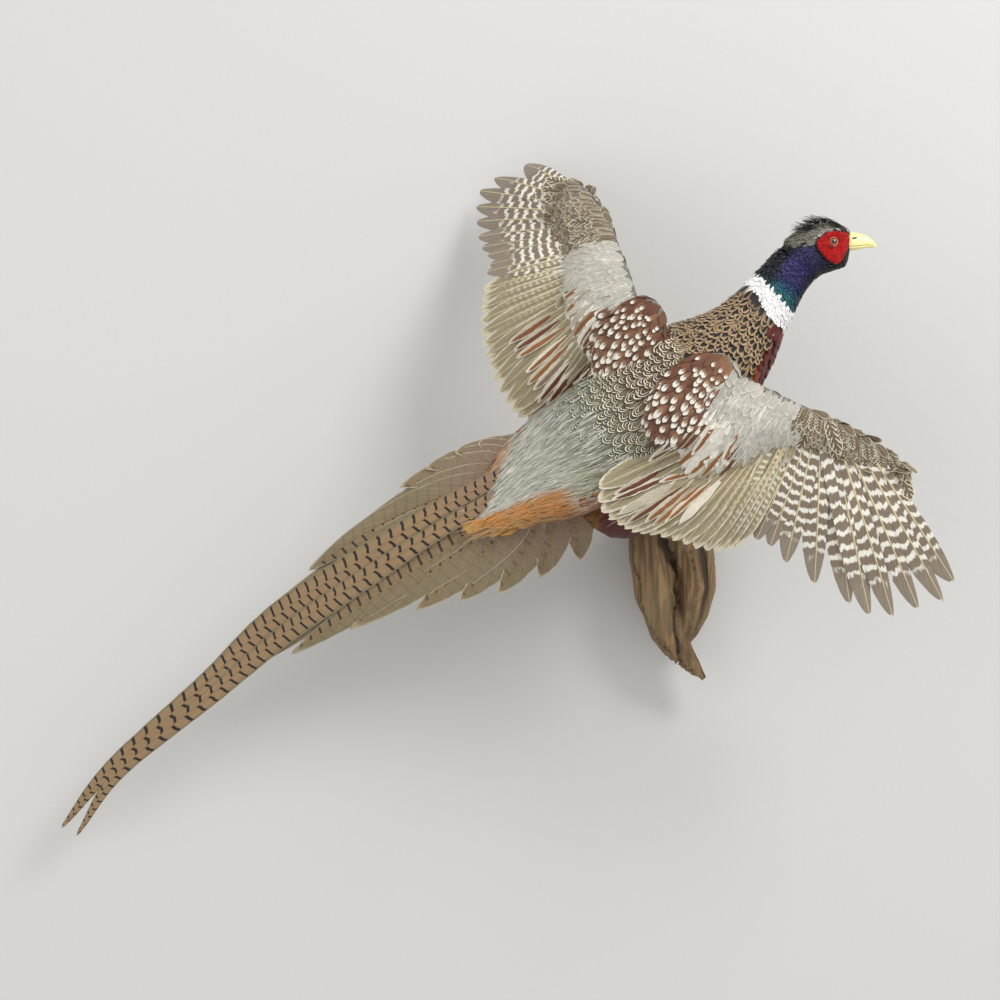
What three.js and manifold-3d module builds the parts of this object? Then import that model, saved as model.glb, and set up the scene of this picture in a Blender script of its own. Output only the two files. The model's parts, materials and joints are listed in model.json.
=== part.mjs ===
// A cock ring-necked pheasant mounted in flight on a piece of driftwood that hangs on a wall.
// Millimetres. The origin is the centre of the driftwood's flat back. +X is to the right as one
// faces the wall, +Y goes into the wall and +Z is up, so the bird is on the -Y side.
import * as THREE from "three";
import { mergeVertices } from "three/addons/utils/BufferGeometryUtils.js";
import Module from "manifold-3d";

const wasm = await Module();
wasm.setup();

// ---- driving dimensions -------------------------------------------------------------------
const GAP = 0.3; // kept between neighbouring pieces
const BODY_SIDES = 18; // points round a body section
const LIMB_SIDES = 10; // points round a wing, leg or bill section
const EYE_RADIUS = 5.6;
const WATTLE_RISE = 1.4; // the bare red skin stands this far off the head
const VANE_ROOT = 2.4; // thickness of a feather fan where it leaves the wing or rump
const VANE_TIP = 1.1; // and at its tips
const HALF_VANE = 9; // half the width of a flight feather, which its outermost edge adds to a fan
const BEAK_GAPE = 0.35; // the closed bill's line between its halves
const ROOT_GAP = 0.9; // between the edge of the coverts and the roots of a feather fan
const SPUR_LENGTH = 13;
const SLIVER = 0.12; // detail that a cut leaves finer than this is smoothed away

const COLOUR = {
  barred: 0xa88c5c, copper: 0x7a3416, slate: 0x93a0a3, neck: 0x1c2348, head: 0x2a3a34,
  wattle: 0xc01a16, bill: 0xe6dc98, iris: 0xa8642a, horn: 0x6e665a, vane: 0x8d8270,
  secondary: 0x9a8f76, covert: 0xb4b0ac, tail: 0x9c8450, crest: 0x4a4a3e, wood: 0x7a603e,
};

// ---- vectors ------------------------------------------------------------------------------
const vec = (x, y, z) => new THREE.Vector3(x, y, z);
const points = (list) => list.map(([x, y, z]) => vec(x, y, z));
const VIEWER = vec(0, -1, 0); // the way the bird's back and both wings' upper sides look

/** A smooth curve whose i-th point stands for the middle of the i-th of equal shares. */
function shared(list) {
  const curve = new THREE.CatmullRomCurve3(points(list), false, "centripetal");
  const last = list.length - 1;
  return (t) => {
    const at = t * list.length - 0.5;
    const inside = Math.min(last, Math.max(0, at));
    const beyond = 2 * (at - inside) * HALF_VANE;
    return curve.getPoint(inside / last).addScaledVector(curve.getTangent(inside / last), beyond);
  };
}

/** A smooth curve from its first point to its last. */
function spanned(list) {
  const curve = new THREE.CatmullRomCurve3(points(list), false, "centripetal");
  return (t) => curve.getPoint(t);
}

/** Plain numbers that change smoothly along a list of stations. */
function blended(values) {
  const curve = new THREE.CatmullRomCurve3(values.map((value) => vec(value, 0, 0)), false, "catmullrom", 0.5);
  return (t) => curve.getPoint(t).x;
}

const mix = (a, b, t) => a + (b - a) * t;

// ---- closed meshes and solids -------------------------------------------------------------
/** A geometry from points and the triangles between them. */
function meshed(vertices, triangles) {
  const geometry = new THREE.BufferGeometry();
  geometry.setAttribute("position", new THREE.Float32BufferAttribute(vertices.flatMap((p) => [p.x, p.y, p.z]), 3));
  geometry.setIndex(triangles);
  return geometry;
}

/** A geometry as a solid that can be cut; one that is inside out is turned. */
function solid(geometry) {
  const bare = geometry.clone();
  bare.deleteAttribute("normal");
  bare.deleteAttribute("uv");
  const merged = mergeVertices(bare, 1e-4);
  const build = (order) => {
    const triVerts = new Uint32Array(order(merged.index.array));
    const vertProperties = new Float32Array(merged.attributes.position.array);
    return new wasm.Manifold(new wasm.Mesh({ numProp: 3, vertProperties, triVerts }));
  };
  const made = build((index) => Array.from(index));
  if (made.volume() > 0) return made;
  return build((index) => Array.from(index, (_, i) => index[i - (i % 3) + [0, 2, 1][i % 3]]));
}

/** A solid as a geometry. */
function skinned(body) {
  const mesh = body.getMesh();
  const geometry = new THREE.BufferGeometry();
  geometry.setAttribute("position", new THREE.Float32BufferAttribute(mesh.vertProperties, 3));
  geometry.setIndex(Array.from(mesh.triVerts));
  return geometry;
}

/** The largest single lump of a solid, so that a cut leaves no crumbs. */
function largest(body) {
  const lumps = body.decompose();
  return lumps.reduce((best, lump) => (lump.volume() > best.volume() ? lump : best), lumps[0]);
}

/** A solid with others cut out of it, without slivers. */
const cut = (body, ...tools) => largest(
  tools.reduce((left, tool) => left.subtract(tool).simplify(SLIVER), body).simplify(SLIVER));

/** A closed skin over rings of equal count, each end a flat fan. */
function lofted(rings) {
  const sides = rings[0].length;
  const vertices = rings.flat();
  const triangles = [];
  for (let ring = 0; ring + 1 < rings.length; ring += 1) {
    for (let side = 0; side < sides; side += 1) {
      const a = ring * sides + side;
      const b = ring * sides + ((side + 1) % sides);
      triangles.push(a, b, b + sides, a, b + sides, a + sides);
    }
  }
  const cap = (first, turned) => {
    const centre = vertices.length;
    const sum = vec(0, 0, 0);
    for (let side = 0; side < sides; side += 1) sum.add(vertices[first + side]);
    vertices.push(sum.divideScalar(sides));
    for (let side = 0; side < sides; side += 1) {
      const next = first + ((side + 1) % sides);
      triangles.push(...(turned ? [centre, next, first + side] : [centre, first + side, next]));
    }
  };
  cap(0, true);
  cap((rings.length - 1) * sides, false);
  return meshed(vertices, triangles);
}

/** A closed plate over a grid of points, with a thickness and an outward direction for each. */
function plated(grid, normals, thickness) {
  const rows = grid.length;
  const columns = grid[0].length;
  const half = (side) => grid.flatMap((row, r) => row.map(
    (p, c) => p.clone().addScaledVector(normals[r][c], side * thickness[r] / 2)));
  const vertices = [...half(1), ...half(-1)];
  const below = rows * columns;
  const triangles = [];
  for (let r = 0; r + 1 < rows; r += 1) {
    for (let c = 0; c + 1 < columns; c += 1) {
      const a = r * columns + c;
      const d = a + columns;
      triangles.push(a, a + 1, d + 1, a, d + 1, d);
      triangles.push(below + a, below + d + 1, below + a + 1, below + a, below + d, below + d + 1);
    }
  }
  const edge = [];
  for (let c = 0; c < columns; c += 1) edge.push(c);
  for (let r = 1; r < rows; r += 1) edge.push(r * columns + columns - 1);
  for (let c = columns - 2; c >= 0; c -= 1) edge.push((rows - 1) * columns + c);
  for (let r = rows - 2; r > 0; r -= 1) edge.push(r * columns);
  edge.forEach((a, i) => {
    const b = edge[(i + 1) % edge.length];
    triangles.push(a, below + b, b, a, below + a, below + b);
  });
  return meshed(vertices, triangles);
}

/** A cross-section: right and up lengths turned round a centre. */
function ringAt(centre, right, up, half, rise, sides, lower = rise) {
  return Array.from({ length: sides }, (_, i) => {
    const angle = (2 * Math.PI * i) / sides;
    const height = Math.sin(angle) * (Math.sin(angle) > 0 ? rise : lower);
    return centre.clone().addScaledVector(right, Math.cos(angle) * half).addScaledVector(up, height);
  });
}

/** The bird's right and back directions where its spine runs forward and it is rolled. */
function rolled(forward, roll) {
  const back = VIEWER.clone().addScaledVector(forward, -VIEWER.dot(forward)).normalize();
  return [new THREE.Vector3().crossVectors(forward, back), back]
    .map((axis) => axis.applyAxisAngle(forward, THREE.MathUtils.degToRad(-roll)));
}

// ---- trunk and neck -----------------------------------------------------------------------
// Stations from the tail root to the back of the head: place, half width, height of the back
// over the spine, depth of the belly under it, and roll of the right side towards the viewer.
const SPINE = [
  { at: [-183, -180, 42], half: 22, back: 4, belly: 5, roll: 14 },
  { at: [-156, -187, 58], half: 34, back: 11, belly: 13, roll: 14 },
  { at: [-127, -195, 78], half: 49, back: 24, belly: 28, roll: 16 },
  { at: [-98, -204, 95], half: 57, back: 40, belly: 46, roll: 21 },
  { at: [-63, -216, 115], half: 60, back: 54, belly: 60, roll: 25 },
  { at: [-20, -231, 141], half: 66, back: 60, belly: 74, roll: 30 },
  { at: [22, -246, 172], half: 64, back: 56, belly: 70, roll: 38 },
  { at: [56, -260, 199], half: 49, back: 45, belly: 52, roll: 50 },
  { at: [83, -269, 229], half: 34, back: 33, belly: 35, roll: 62 },
  { at: [98, -273, 248], half: 26, back: 32, belly: 28, roll: 72 },
  { at: [111, -275, 266], half: 20, back: 27.5, belly: 23, roll: 82 },
  { at: [125, -277, 285], half: 18, back: 25.5, belly: 23, roll: 90 },
];
const RUMP_END = 3.4; // the stations where one piece ends and the next begins
const TRUNK_END = 7.4;

const spineCurve = new THREE.CatmullRomCurve3(points(SPINE.map((s) => s.at)), false, "centripetal");
const spineSize = Object.fromEntries(["half", "back", "belly", "roll"].map(
  (key) => [key, blended(SPINE.map((s) => s[key]))]));

/** The body's section at a station number, moved along the spine and grown. */
function bodySection(station, grow = 0, along = 0) {
  const t = station / (SPINE.length - 1);
  const forward = spineCurve.getTangent(t);
  const centre = spineCurve.getPoint(t).addScaledVector(forward, along);
  const [right, back] = rolled(forward, spineSize.roll(t));
  return ringAt(centre, right, back, spineSize.half(t) + grow, spineSize.back(t) + grow,
    BODY_SIDES, spineSize.belly(t) + grow);
}

/** A length of the body between two stations, `steps` rings long. */
function bodyLength(from, to, steps, grow = 0, startGap = 0, endGap = 0) {
  const rings = [];
  for (let i = 0; i <= steps; i += 1) {
    const along = i === 0 ? startGap - grow : i === steps ? grow - endGap : 0;
    rings.push(bodySection(mix(from, to, i / steps), grow, along));
  }
  return solid(lofted(rings));
}

const headStation = SPINE.length - 1;
const BODY_LENGTHS = { rump: [0, RUMP_END, 7], trunk: [RUMP_END, TRUNK_END, 8], neck: [TRUNK_END, headStation, 7] };
const body = {};
const bodyParts = {};
for (const [name, [from, to, steps]] of Object.entries(BODY_LENGTHS)) {
  body[name] = bodyLength(from, to, steps, 0, 0, GAP);
  bodyParts[name] = bodyLength(from, to, steps, GAP);
}
const bodyRoom = Object.values(bodyParts).reduce((all, part) => all.add(part));
const neckRoom = bodyParts.neck;

// ---- head ---------------------------------------------------------------------------------
// Sections from the nape to the bill: forward and up places, height of the crown over them,
// depth of the jaw under them, half width and how far the section leans back. The bird's left side is +Y, since the head shows its right side.
const HEAD_Y = -277;
const HEAD = [
  { x: 125, z: 285, crown: 26, jaw: 23, wide: 18, lean: 40 },
  { x: 138, z: 295, crown: 25, jaw: 25.5, wide: 18.5, lean: 35 },
  { x: 152, z: 301, crown: 23, jaw: 26.5, wide: 17.5, lean: 28 },
  { x: 163.5, z: 305.5, crown: 17.5, jaw: 26, wide: 14, lean: 18 },
  { x: 170.5, z: 306.5, crown: 12, jaw: 18.5, wide: 9.5, lean: 9 },
  { x: 174.5, z: 305.7, crown: 7.4, jaw: 9, wide: 5.6, lean: 4 },
];
const headSize = Object.fromEntries(["x", "z", "crown", "jaw", "wide", "lean"].map(
  (key) => [key, blended(HEAD.map((s) => s[key]))]));

function headSection(t, grow = 0) {
  const lean = THREE.MathUtils.degToRad(headSize.lean(t));
  const up = vec(-Math.sin(lean), 0, Math.cos(lean));
  return ringAt(vec(headSize.x(t), HEAD_Y, headSize.z(t)), VIEWER, up,
    headSize.wide(t) + grow, headSize.crown(t) + grow, BODY_SIDES, headSize.jaw(t) + grow);
}

function headWhole(grow = 0) {
  const steps = 7;
  return solid(lofted(Array.from({ length: steps + 1 }, (_, i) => headSection(i / steps, grow))));
}

/** A flat outline in the head's side view, pushed through it from one side. */
function sidePrism(outline, side) {
  const shape = new THREE.Shape(outline.map(([x, z]) => new THREE.Vector2(x, z)));
  const depth = 40;
  const geometry = new THREE.ExtrudeGeometry(shape, { depth, bevelEnabled: false });
  geometry.rotateX(Math.PI / 2); // the outline's y becomes z, and the depth runs to -Y
  geometry.translate(0, HEAD_Y + (side < 0 ? 0 : depth), 0);
  return solid(geometry);
}

function ball(centre, radius, wide, high) {
  const geometry = new THREE.SphereGeometry(radius, wide, high);
  geometry.rotateX(Math.PI / 2);
  return solid(geometry).translate(centre.x, centre.y, centre.z);
}

// The wattle's outline round the eye, from above the ear to the bill and down to the jaw.
const WATTLE = [
  [139.8, 302], [145.8, 307.8], [150.5, 311.8], [157, 313], [164, 312.8], [171.5, 311], [173, 306],
  [171.5, 300], [168, 292.5], [164.8, 285], [160, 281.4], [153, 284.6], [146, 290.5], [141.4, 296.2],
];
const EYE = { x: 156, z: 302.6, inset: 3.7 };

const headGrown = headWhole(WATTLE_RISE);
const headRoom = headWhole(GAP);
const face = {};
for (const [name, side] of [["right", -1], ["left", 1]]) {
  const eyeY = HEAD_Y + side * (headSize.wide(0.5) - EYE.inset);
  const centre = vec(EYE.x, eyeY, EYE.z);
  const socket = ball(centre, EYE_RADIUS + GAP, 12, 8);
  const patch = headGrown.intersect(sidePrism(WATTLE, side)).subtract(headRoom);
  face[name] = { eye: ball(centre, EYE_RADIUS, 12, 8), socket, wattle: cut(patch, socket, neckRoom) };
}
const head = cut(headWhole(), neckRoom, face.left.socket, face.right.socket);

/** A tapering round piece along a few points, thick at its root and fine at its tip. */
function tapered(list, sizes, steps, sides, grow = 0, flat = 1) {
  const curve = new THREE.CatmullRomCurve3(points(list), false, "centripetal");
  const radius = blended(sizes);
  return solid(lofted(Array.from({ length: steps + 1 }, (_, i) => {
    const t = i / steps;
    const [right, up] = rolled(curve.getTangent(t), 0);
    return ringAt(curve.getPoint(t), right, up, radius(t) + grow, radius(t) * flat + grow, sides);
  })));
}

// The bill's halves: place, half width, and heights of the ridge above and the jaw below the gape.
const BILL = [
  { x: 170, z: 301.4, wide: 6, ridge: 11.5, jaw: 5 },
  { x: 177, z: 302.6, wide: 5.4, ridge: 10.4, jaw: 4.2 },
  { x: 183, z: 303, wide: 4.6, ridge: 9, jaw: 3.4 },
  { x: 190, z: 302.8, wide: 3.6, ridge: 6.6, jaw: 2.9 },
  { x: 195, z: 301.6, wide: 2.4, ridge: 4, jaw: 2 },
];
const BILL_TIP = { upper: [199.4, 298.6], lower: [196.6, 300.2] };

function billHalf(height, tip, up) {
  const rings = BILL.map((s) => {
    const floor = vec(s.x, HEAD_Y, s.z + up * BEAK_GAPE / 2);
    return Array.from({ length: LIMB_SIDES }, (_, i) => {
      const angle = (Math.PI * i) / (LIMB_SIDES - 1);
      return floor.clone().add(vec(0, Math.cos(angle) * s.wide, up * Math.sin(angle) ** 0.8 * height(s)));
    });
  });
  const [x, z] = tip;
  rings.push(rings[0].map((_, i) => vec(x, HEAD_Y + Math.cos((Math.PI * i) / (LIMB_SIDES - 1)) * 0.5,
    z + up * Math.sin((Math.PI * i) / (LIMB_SIDES - 1)) * 0.6)));
  return cut(solid(lofted(rings)), headRoom);
}

const billUpper = billHalf((s) => s.ridge, BILL_TIP.upper, 1);
const billLower = billHalf((s) => s.jaw, BILL_TIP.lower, -1);

// The feathers that stand up on the crown, and the pointed tuft behind each eye.
const CREST = [[166, HEAD_Y, 323], [155, HEAD_Y, 326.5], [141, HEAD_Y, 326], [128, HEAD_Y, 315]];
const crest = cut(tapered(CREST, [5, 7, 6.5, 3], 7, LIMB_SIDES, 0, 1), headRoom);
const EAR_TUFT = { root: [147, 12, 316], mid: [137, 14, 321], tip: [121, 15, 317] };
const crestRoom = tapered(CREST, [5, 7, 6.5, 3], 7, LIMB_SIDES, GAP, 1);
function earTuft(side) {
  const placed = Object.values(EAR_TUFT).map(([x, out, z]) => [x, HEAD_Y + side * out, z]);
  return cut(tapered(placed, [4.5, 4, 0.8], 5, 8), headRoom, crestRoom);
}

// ---- wings --------------------------------------------------------------------------------
// leading and trailing run from the shoulder to the end of the hand; thick is the flesh and the
// small coverts between them; the flight feathers come out along the trailing edge.
const WINGS = {
  right: {
    leading: [[35, -290, 168], [63, -308, 179], [92, -318, 165], [123, -326, 149], [151, -328, 137],
      [186, -322, 119], [224, -312, 94]],
    trailing: [[0, -272, 103], [20, -282, 78], [62, -296, 86], [109, -310, 108], [143, -312, 100],
      [182, -309, 84], [223, -308, 86]],
    thick: [28, 26, 21, 14, 9, 6, 3],
    primaryTips: [[270, -296, -20], [260, -292, -38], [237, -290, -46], [213, -288, -53], [191, -288, -52],
      [172, -288, -41], [139, -286, -22], [112, -284, -2], [97, -282, 13], [84, -280, 19]],
    secondaryTips: [[68, -278, 14], [49, -275, 8], [28, -271, 10], [6, -268, 18], [-17, -265, 24],
      [-35, -264, 27], [-50, -265, 35], [-66, -268, 49], [-66, -276, 76]],
    sweep: [0.16, 0.0, 0.05],
    arch: [0.05, 0.06],
    scapular: { at: [22, -308, 152], along: [-38, 12, -40], across: [25, -6, -26], rise: 11 },
  },
  left: {
    leading: [[1, -245, 207], [-23, -234, 249], [-31, -222, 276], [-41, -205, 305], [-47, -188, 328],
      [-61, -160, 356], [-83, -122, 382]],
    trailing: [[-63, -205, 182], [-85, -192, 210], [-99, -180, 255], [-97, -174, 288], [-101, -152, 311],
      [-111, -122, 344], [-89, -114, 380]],
    thick: [28, 26, 21, 14, 9, 6, 3],
    primaryTips: [[-134, -14, 406], [-166, -18, 392], [-182, -25, 378], [-185, -30, 361], [-185, -38, 345],
      [-183, -58, 328], [-179, -80, 315], [-173, -98, 306], [-171, -112, 295], [-174, -120, 287]],
    secondaryTips: [[-177, -124, 274], [-180, -128, 253], [-181, -132, 228], [-176, -137, 202],
      [-168, -142, 177], [-155, -147, 153], [-141, -152, 139], [-117, -160, 144], [-95, -169, 158]],
    sweep: [0.12, 0.05, 0.06],
    arch: [0.07, 0.08],
    scapular: { at: [-36, -258, 207], along: [-33, 20, -34], across: [-14, 10, 34], rise: 12 },
  },
};
const WRIST = 3; // the station of the wrist among leading and trailing
const FEATHERS = { primaries: 10, secondaries: 17 };

/** A wing's upper direction at right angles to its span and chord. */
function upper(span, chord) {
  const normal = new THREE.Vector3().crossVectors(span, chord).normalize();
  return normal.dot(VIEWER) < 0 ? normal.negate() : normal;
}

/** A rounded wing section from the leading edge to the end of the coverts. */
function wingSection(wing, t, grow, shift) {
  const lead = wing.leadingCurve(t);
  const trail = wing.trailingCurve(t);
  const step = 0.02;
  const side = t < 0.5 ? 1 : -1;
  const span = wing.leadingCurve(t + side * step).sub(lead).multiplyScalar(side).normalize();
  const chord = trail.clone().sub(lead);
  const length = chord.length();
  chord.normalize();
  const up = upper(span, chord);
  const thick = wing.thickness(t);
  return Array.from({ length: LIMB_SIDES + 2 }, (_, i) => {
    const angle = (2 * Math.PI * i) / (LIMB_SIDES + 2);
    const down = (1 - Math.cos(angle)) / 2;
    const camber = 0.1 * length * 4 * down * (1 - down);
    const rise = Math.sin(angle) * (thick / 2) * (1.25 - 0.7 * down);
    return lead.clone().addScaledVector(chord, down * (length + 2 * grow) - grow)
      .addScaledVector(up, camber + rise + 1.6 * Math.sin(angle) * grow).addScaledVector(span, shift);
  });
}

function wingLimb(wing, from, to, steps, grow = 0, startGap = 0, endGap = 0) {
  const rings = [];
  for (let i = 0; i <= steps; i += 1) {
    const shift = i === 0 ? startGap - grow : i === steps ? grow - endGap : 0;
    rings.push(wingSection(wing, mix(from, to, i / steps), grow, shift));
  }
  return solid(lofted(rings));
}

/**
 * Flight feathers side by side as one closed plate with a tip for each, rounded or plain. roots
 * and tips give their ends across the fan, notch is how far the gaps between tips run in, sweep
 * bends the shafts across the fan, and arch lifts them off it.
 */
function featherFan({ roots, tips, count, notch, sweep, arch, thick, rounded = true, rows = 4, grow = 0, drop = 0 }) {
  const tipProfile = rounded
    ? [[-0.5, 1 - notch], [-0.16, 1], [0.24, 1 - 0.06 * notch]]
    : [[-0.5, 1 - notch], [0.05, 1]];
  const columns = [];
  for (let feather = 0; feather < count; feather += 1) {
    for (const [offset, reach] of tipProfile) columns.push([(feather + 0.5 + offset) / count, reach]);
  }
  columns.push([1, 1 - notch]);
  const width = (line) => line(0).sub(line(1));
  const span = width(roots).add(width(tips));
  const face = upper(span, tips(0.5).sub(roots(0.5)));
  const lengths = columns.map(([t, reach]) => {
    const root = roots(t);
    const tip = tips(t);
    const chord = tip.clone().sub(root);
    const up = face.clone().addScaledVector(chord, -face.dot(chord) / chord.lengthSq()).normalize();
    const side = chord.clone().cross(up).normalize();
    if (side.dot(span) < 0) side.negate();
    const middle = root.clone().add(tip).multiplyScalar(0.5)
      .addScaledVector(side, 2 * sweep(t) * chord.length()).addScaledVector(up, 2 * arch(t) * chord.length());
    return { root, middle, tip, up, reach };
  });
  const start = ({ root, tip }) => ROOT_GAP / tip.distanceTo(root);
  const at = ({ root, middle, tip, up }, v) => root.clone().multiplyScalar((1 - v) ** 2)
    .addScaledVector(middle, 2 * v * (1 - v)).addScaledVector(tip, v * v).addScaledVector(up, -drop);
  const grid = [];
  const normals = [];
  const thickness = [];
  for (let r = 0; r < rows; r += 1) {
    const share = (r / (rows - 1)) ** 0.8;
    grid.push(lengths.map((column) => at(column, mix(start(column), column.reach, share))));
    normals.push(lengths.map((column) => column.up));
    thickness.push(mix(thick, VANE_TIP, share) + 2 * grow);
  }
  return solid(plated(grid, normals, thickness));
}

/** A lens of short feathers lying over a joint: a middle, two half lengths and its rise. */
function pad({ at, along, across, rise }, grow = 0) {
  const centre = vec(...at);
  const down = vec(...along);
  const wide = vec(...across);
  const up = upper(wide, down);
  const grown = (axis) => axis.clone().setLength(axis.length() + grow);
  const geometry = new THREE.SphereGeometry(1, 14, 8);
  const basis = new THREE.Matrix4().makeBasis(grown(down), grown(wide), up.multiplyScalar(rise + grow));
  geometry.applyMatrix4(basis.setPosition(centre));
  return solid(geometry);
}

function buildWing(shape) {
  const wing = {
    ...shape,
    leadingCurve: spanned(shape.leading),
    trailingCurve: spanned(shape.trailing),
    thickness: blended(shape.thick),
  };
  const wrist = WRIST / (shape.leading.length - 1);
  const lengths = [[0, wrist, 7], [wrist, 1, 6]];
  const limbRoom = lengths.map(([from, to, steps]) => wingLimb(wing, from, to, steps, GAP))
    .reduce((all, part) => all.add(part));
  const [outerSweep, innerSweep, armSweep] = shape.sweep;
  const [handArch, armArch] = shape.arch;
  const primaries = (grow) => featherFan({
    roots: (t) => wing.trailingCurve(mix(1, wrist, t)), tips: shared(shape.primaryTips),
    count: FEATHERS.primaries, notch: 0.2, sweep: (t) => mix(outerSweep, innerSweep, t),
    arch: () => handArch, thick: VANE_ROOT, grow,
  });
  const secondaries = featherFan({
    roots: (t) => wing.trailingCurve(mix(wrist, 0, t)), tips: shared(shape.secondaryTips),
    count: FEATHERS.secondaries, notch: 0.08, sweep: () => armSweep, arch: () => armArch,
    thick: VANE_ROOT, rounded: false, rows: 3,
  });
  const padRoom = pad(shape.scapular, GAP);
  return {
    arm: cut(wingLimb(wing, ...lengths[0], 0, 0, GAP), bodyRoom),
    hand: wingLimb(wing, ...lengths[1]),
    primaries: cut(primaries(0), limbRoom),
    secondaries: cut(secondaries, limbRoom, primaries(GAP), bodyRoom, padRoom),
    scapulars: cut(pad(shape.scapular), limbRoom, bodyRoom),
  };
}

// ---- tail ---------------------------------------------------------------------------------
// The two long middle feathers, and the tips of the eight that step down beside each.
const TAIL_CENTRE = {
  left: [[-153, -197, 85], [-229, -181, 43], [-318, -154, -14], [-390, -130, -63],
    [-459, -106, -129], [-557, -76, -215], [-610, -60, -278]],
  right: [[-143, -197, 73], [-219, -181, 30], [-308, -154, -28], [-378, -130, -77],
    [-451, -106, -138], [-550, -76, -220], [-595, -60, -286]],
};
const TAIL_SIDE = {
  left: {
    roots: [[-150, -190, 74], [-145, -187, 86], [-141, -182, 95], [-137, -176, 104]],
    tips: [[-480, -90, -143], [-354, -112, -14], [-309, -125, 22], [-261, -134, 70], [-235, -138, 89],
      [-206, -142, 105], [-183, -146, 113], [-161, -150, 117]],
    sweep: 0.05,
  },
  right: {
    roots: [[-138, -190, 62], [-126, -189, 60], [-112, -187, 63], [-98, -184, 70]],
    tips: [[-485, -92, -151], [-371, -119, -98], [-311, -136, -72], [-245, -150, -53], [-202, -158, -44],
      [-163, -164, -36], [-122, -170, -20], [-82, -175, -3]],
    sweep: -0.03,
  },
};
const TAIL_HALF_WIDTH = [7, 11, 12, 12, 11, 9, 6.5, 4.2, 1.2]; // of a middle feather, root to tip

/** One long feather: a plate that is widest near its root, drawn to a point and slightly roofed. */
function longFeather(path, beside, grow = 0) {
  const steps = 14;
  const curve = spanned(path);
  const other = spanned(beside);
  const half = blended(TAIL_HALF_WIDTH);
  const grid = [];
  const normals = [];
  const thickness = [];
  for (let i = 0; i <= steps; i += 1) {
    const t = i / steps;
    const ahead = curve(Math.min(1, t + 0.02)).sub(curve(Math.max(0, t - 0.02))).normalize();
    const across = curve(t).sub(other(t));
    across.addScaledVector(ahead, -across.dot(ahead)).normalize();
    const up = upper(ahead, across);
    const inner = Math.max(1, Math.min(half(t), other(t).sub(curve(t)).length() / 2 - GAP / 2)) + grow;
    const roof = [-0.8, 0, -1.5];
    grid.push([-inner, 0, half(t) + grow].map(
      (offset, c) => curve(t).addScaledVector(across, offset).addScaledVector(up, roof[c])));
    normals.push([up, up, up]);
    thickness.push(mix(VANE_ROOT, VANE_TIP, t) + 2 * grow);
  }
  return solid(plated(grid, normals, thickness));
}

function tailSide({ roots, tips, sweep }) {
  const count = tips.length;
  return featherFan({
    roots: spanned(roots), tips: shared(tips), count, notch: 0.1,
    sweep: (t) => sweep * (1 - t) * 0.5 + sweep * t, arch: () => 0.02, thick: VANE_ROOT,
    drop: 3.2,
  });
}

// ---- legs ---------------------------------------------------------------------------------
// Folded back under the tail, as a flying bird carries them.
const LEGS = {
  right: {
    thigh: [[-10, -205, 74], [-40, -188, 44], [-78, -172, 45]],
    shank: [[-66, -172, 50], [-100, -162, 40], [-138, -152, 26]],
    toes: [[-152, -148, 18], [-170, -142, 8], [-182, -138, -10]],
  },
  left: {
    thigh: [[-40, -164, 130], [-60, -146, 114], [-96, -134, 98]],
    shank: [[-92, -134, 98], [-127, -129, 80], [-162, -124, 60]],
    toes: [[-176, -120, 52], [-194, -116, 40], [-205, -113, 22]],
  },
};
const TOE_SPREAD = 11;

function buildLeg({ thigh, shank, toes }) {
  const flesh = (grow) => tapered(thigh, [30, 29, 10], 6, LIMB_SIDES, grow, 0.9);
  const bone = (grow) => {
    const shaft = tapered(shank, [4.6, 3.8, 4.4], 3, 8, grow);
    const [x, y, z] = shank[1];
    const spur = tapered([[x - 6, y + 2, z - 2], [x - 9, y + 6, z - 5], [x - 8, y + 8, z - SPUR_LENGTH]],
      [3, 2.2, 0.6], 3, 6, grow);
    return shaft.add(spur);
  };
  const [heel] = shank.slice(-1);
  const toe = (shift, reach) => tapered([heel, ...toes.map(([x, y, z], i) => [
    heel[0] + (x - heel[0]) * reach, y + shift * (i + 1) / 3, heel[2] + (z - heel[2]) * reach])],
  [4.4, 3.6, 3, 0.8], 5, 6);
  const [hx, hy, hz] = heel;
  const hind = tapered([heel, [hx + 4, hy + 8, hz - 8], [hx + 1, hy + 13, hz - 20]], [3.6, 2.8, 0.7], 3, 6);
  const foot = toe(0, 1).add(toe(TOE_SPREAD, 0.8)).add(toe(-TOE_SPREAD, 0.8)).add(hind);
  return { thigh: cut(flesh(0), bodyRoom), shank: cut(bone(0), flesh(GAP)), foot: cut(foot, bone(GAP)), flesh };
}

// ---- driftwood ----------------------------------------------------------------------------
// Weathered limbs that spring from one stub: its flat back lies on the wall and its head
// carries the bird's breast. Each limb is a list of places with its radius at each.
const WOOD_LIMBS = [
  { path: [[34, -190, 96], [30, -120, 92], [22, -66, 70], [10, -46, 30]], radii: [22, 26, 34, 38] },
  { path: [[4, -36, 60], [-2, -40, 10], [-6, -46, -34], [14, -44, -84], [34, -40, -108], [52, -38, -130]],
    radii: [36, 30, 24, 19, 12, 6] },
  { path: [[26, -36, 56], [38, -36, 8], [42, -40, -34], [36, -40, -70], [26, -38, -92]],
    radii: [34, 26, 22, 15, 8] },
  { path: [[8, -20, 44], [6, -18, 0], [12, -16, -60]], radii: [36, 34, 24] },
];
const WOOD_SIDES = 12; // points round a limb
const WOOD_FLUTES = 5; // ridges round it
const WOOD_FLUTE_DEPTH = 0.1;

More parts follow.
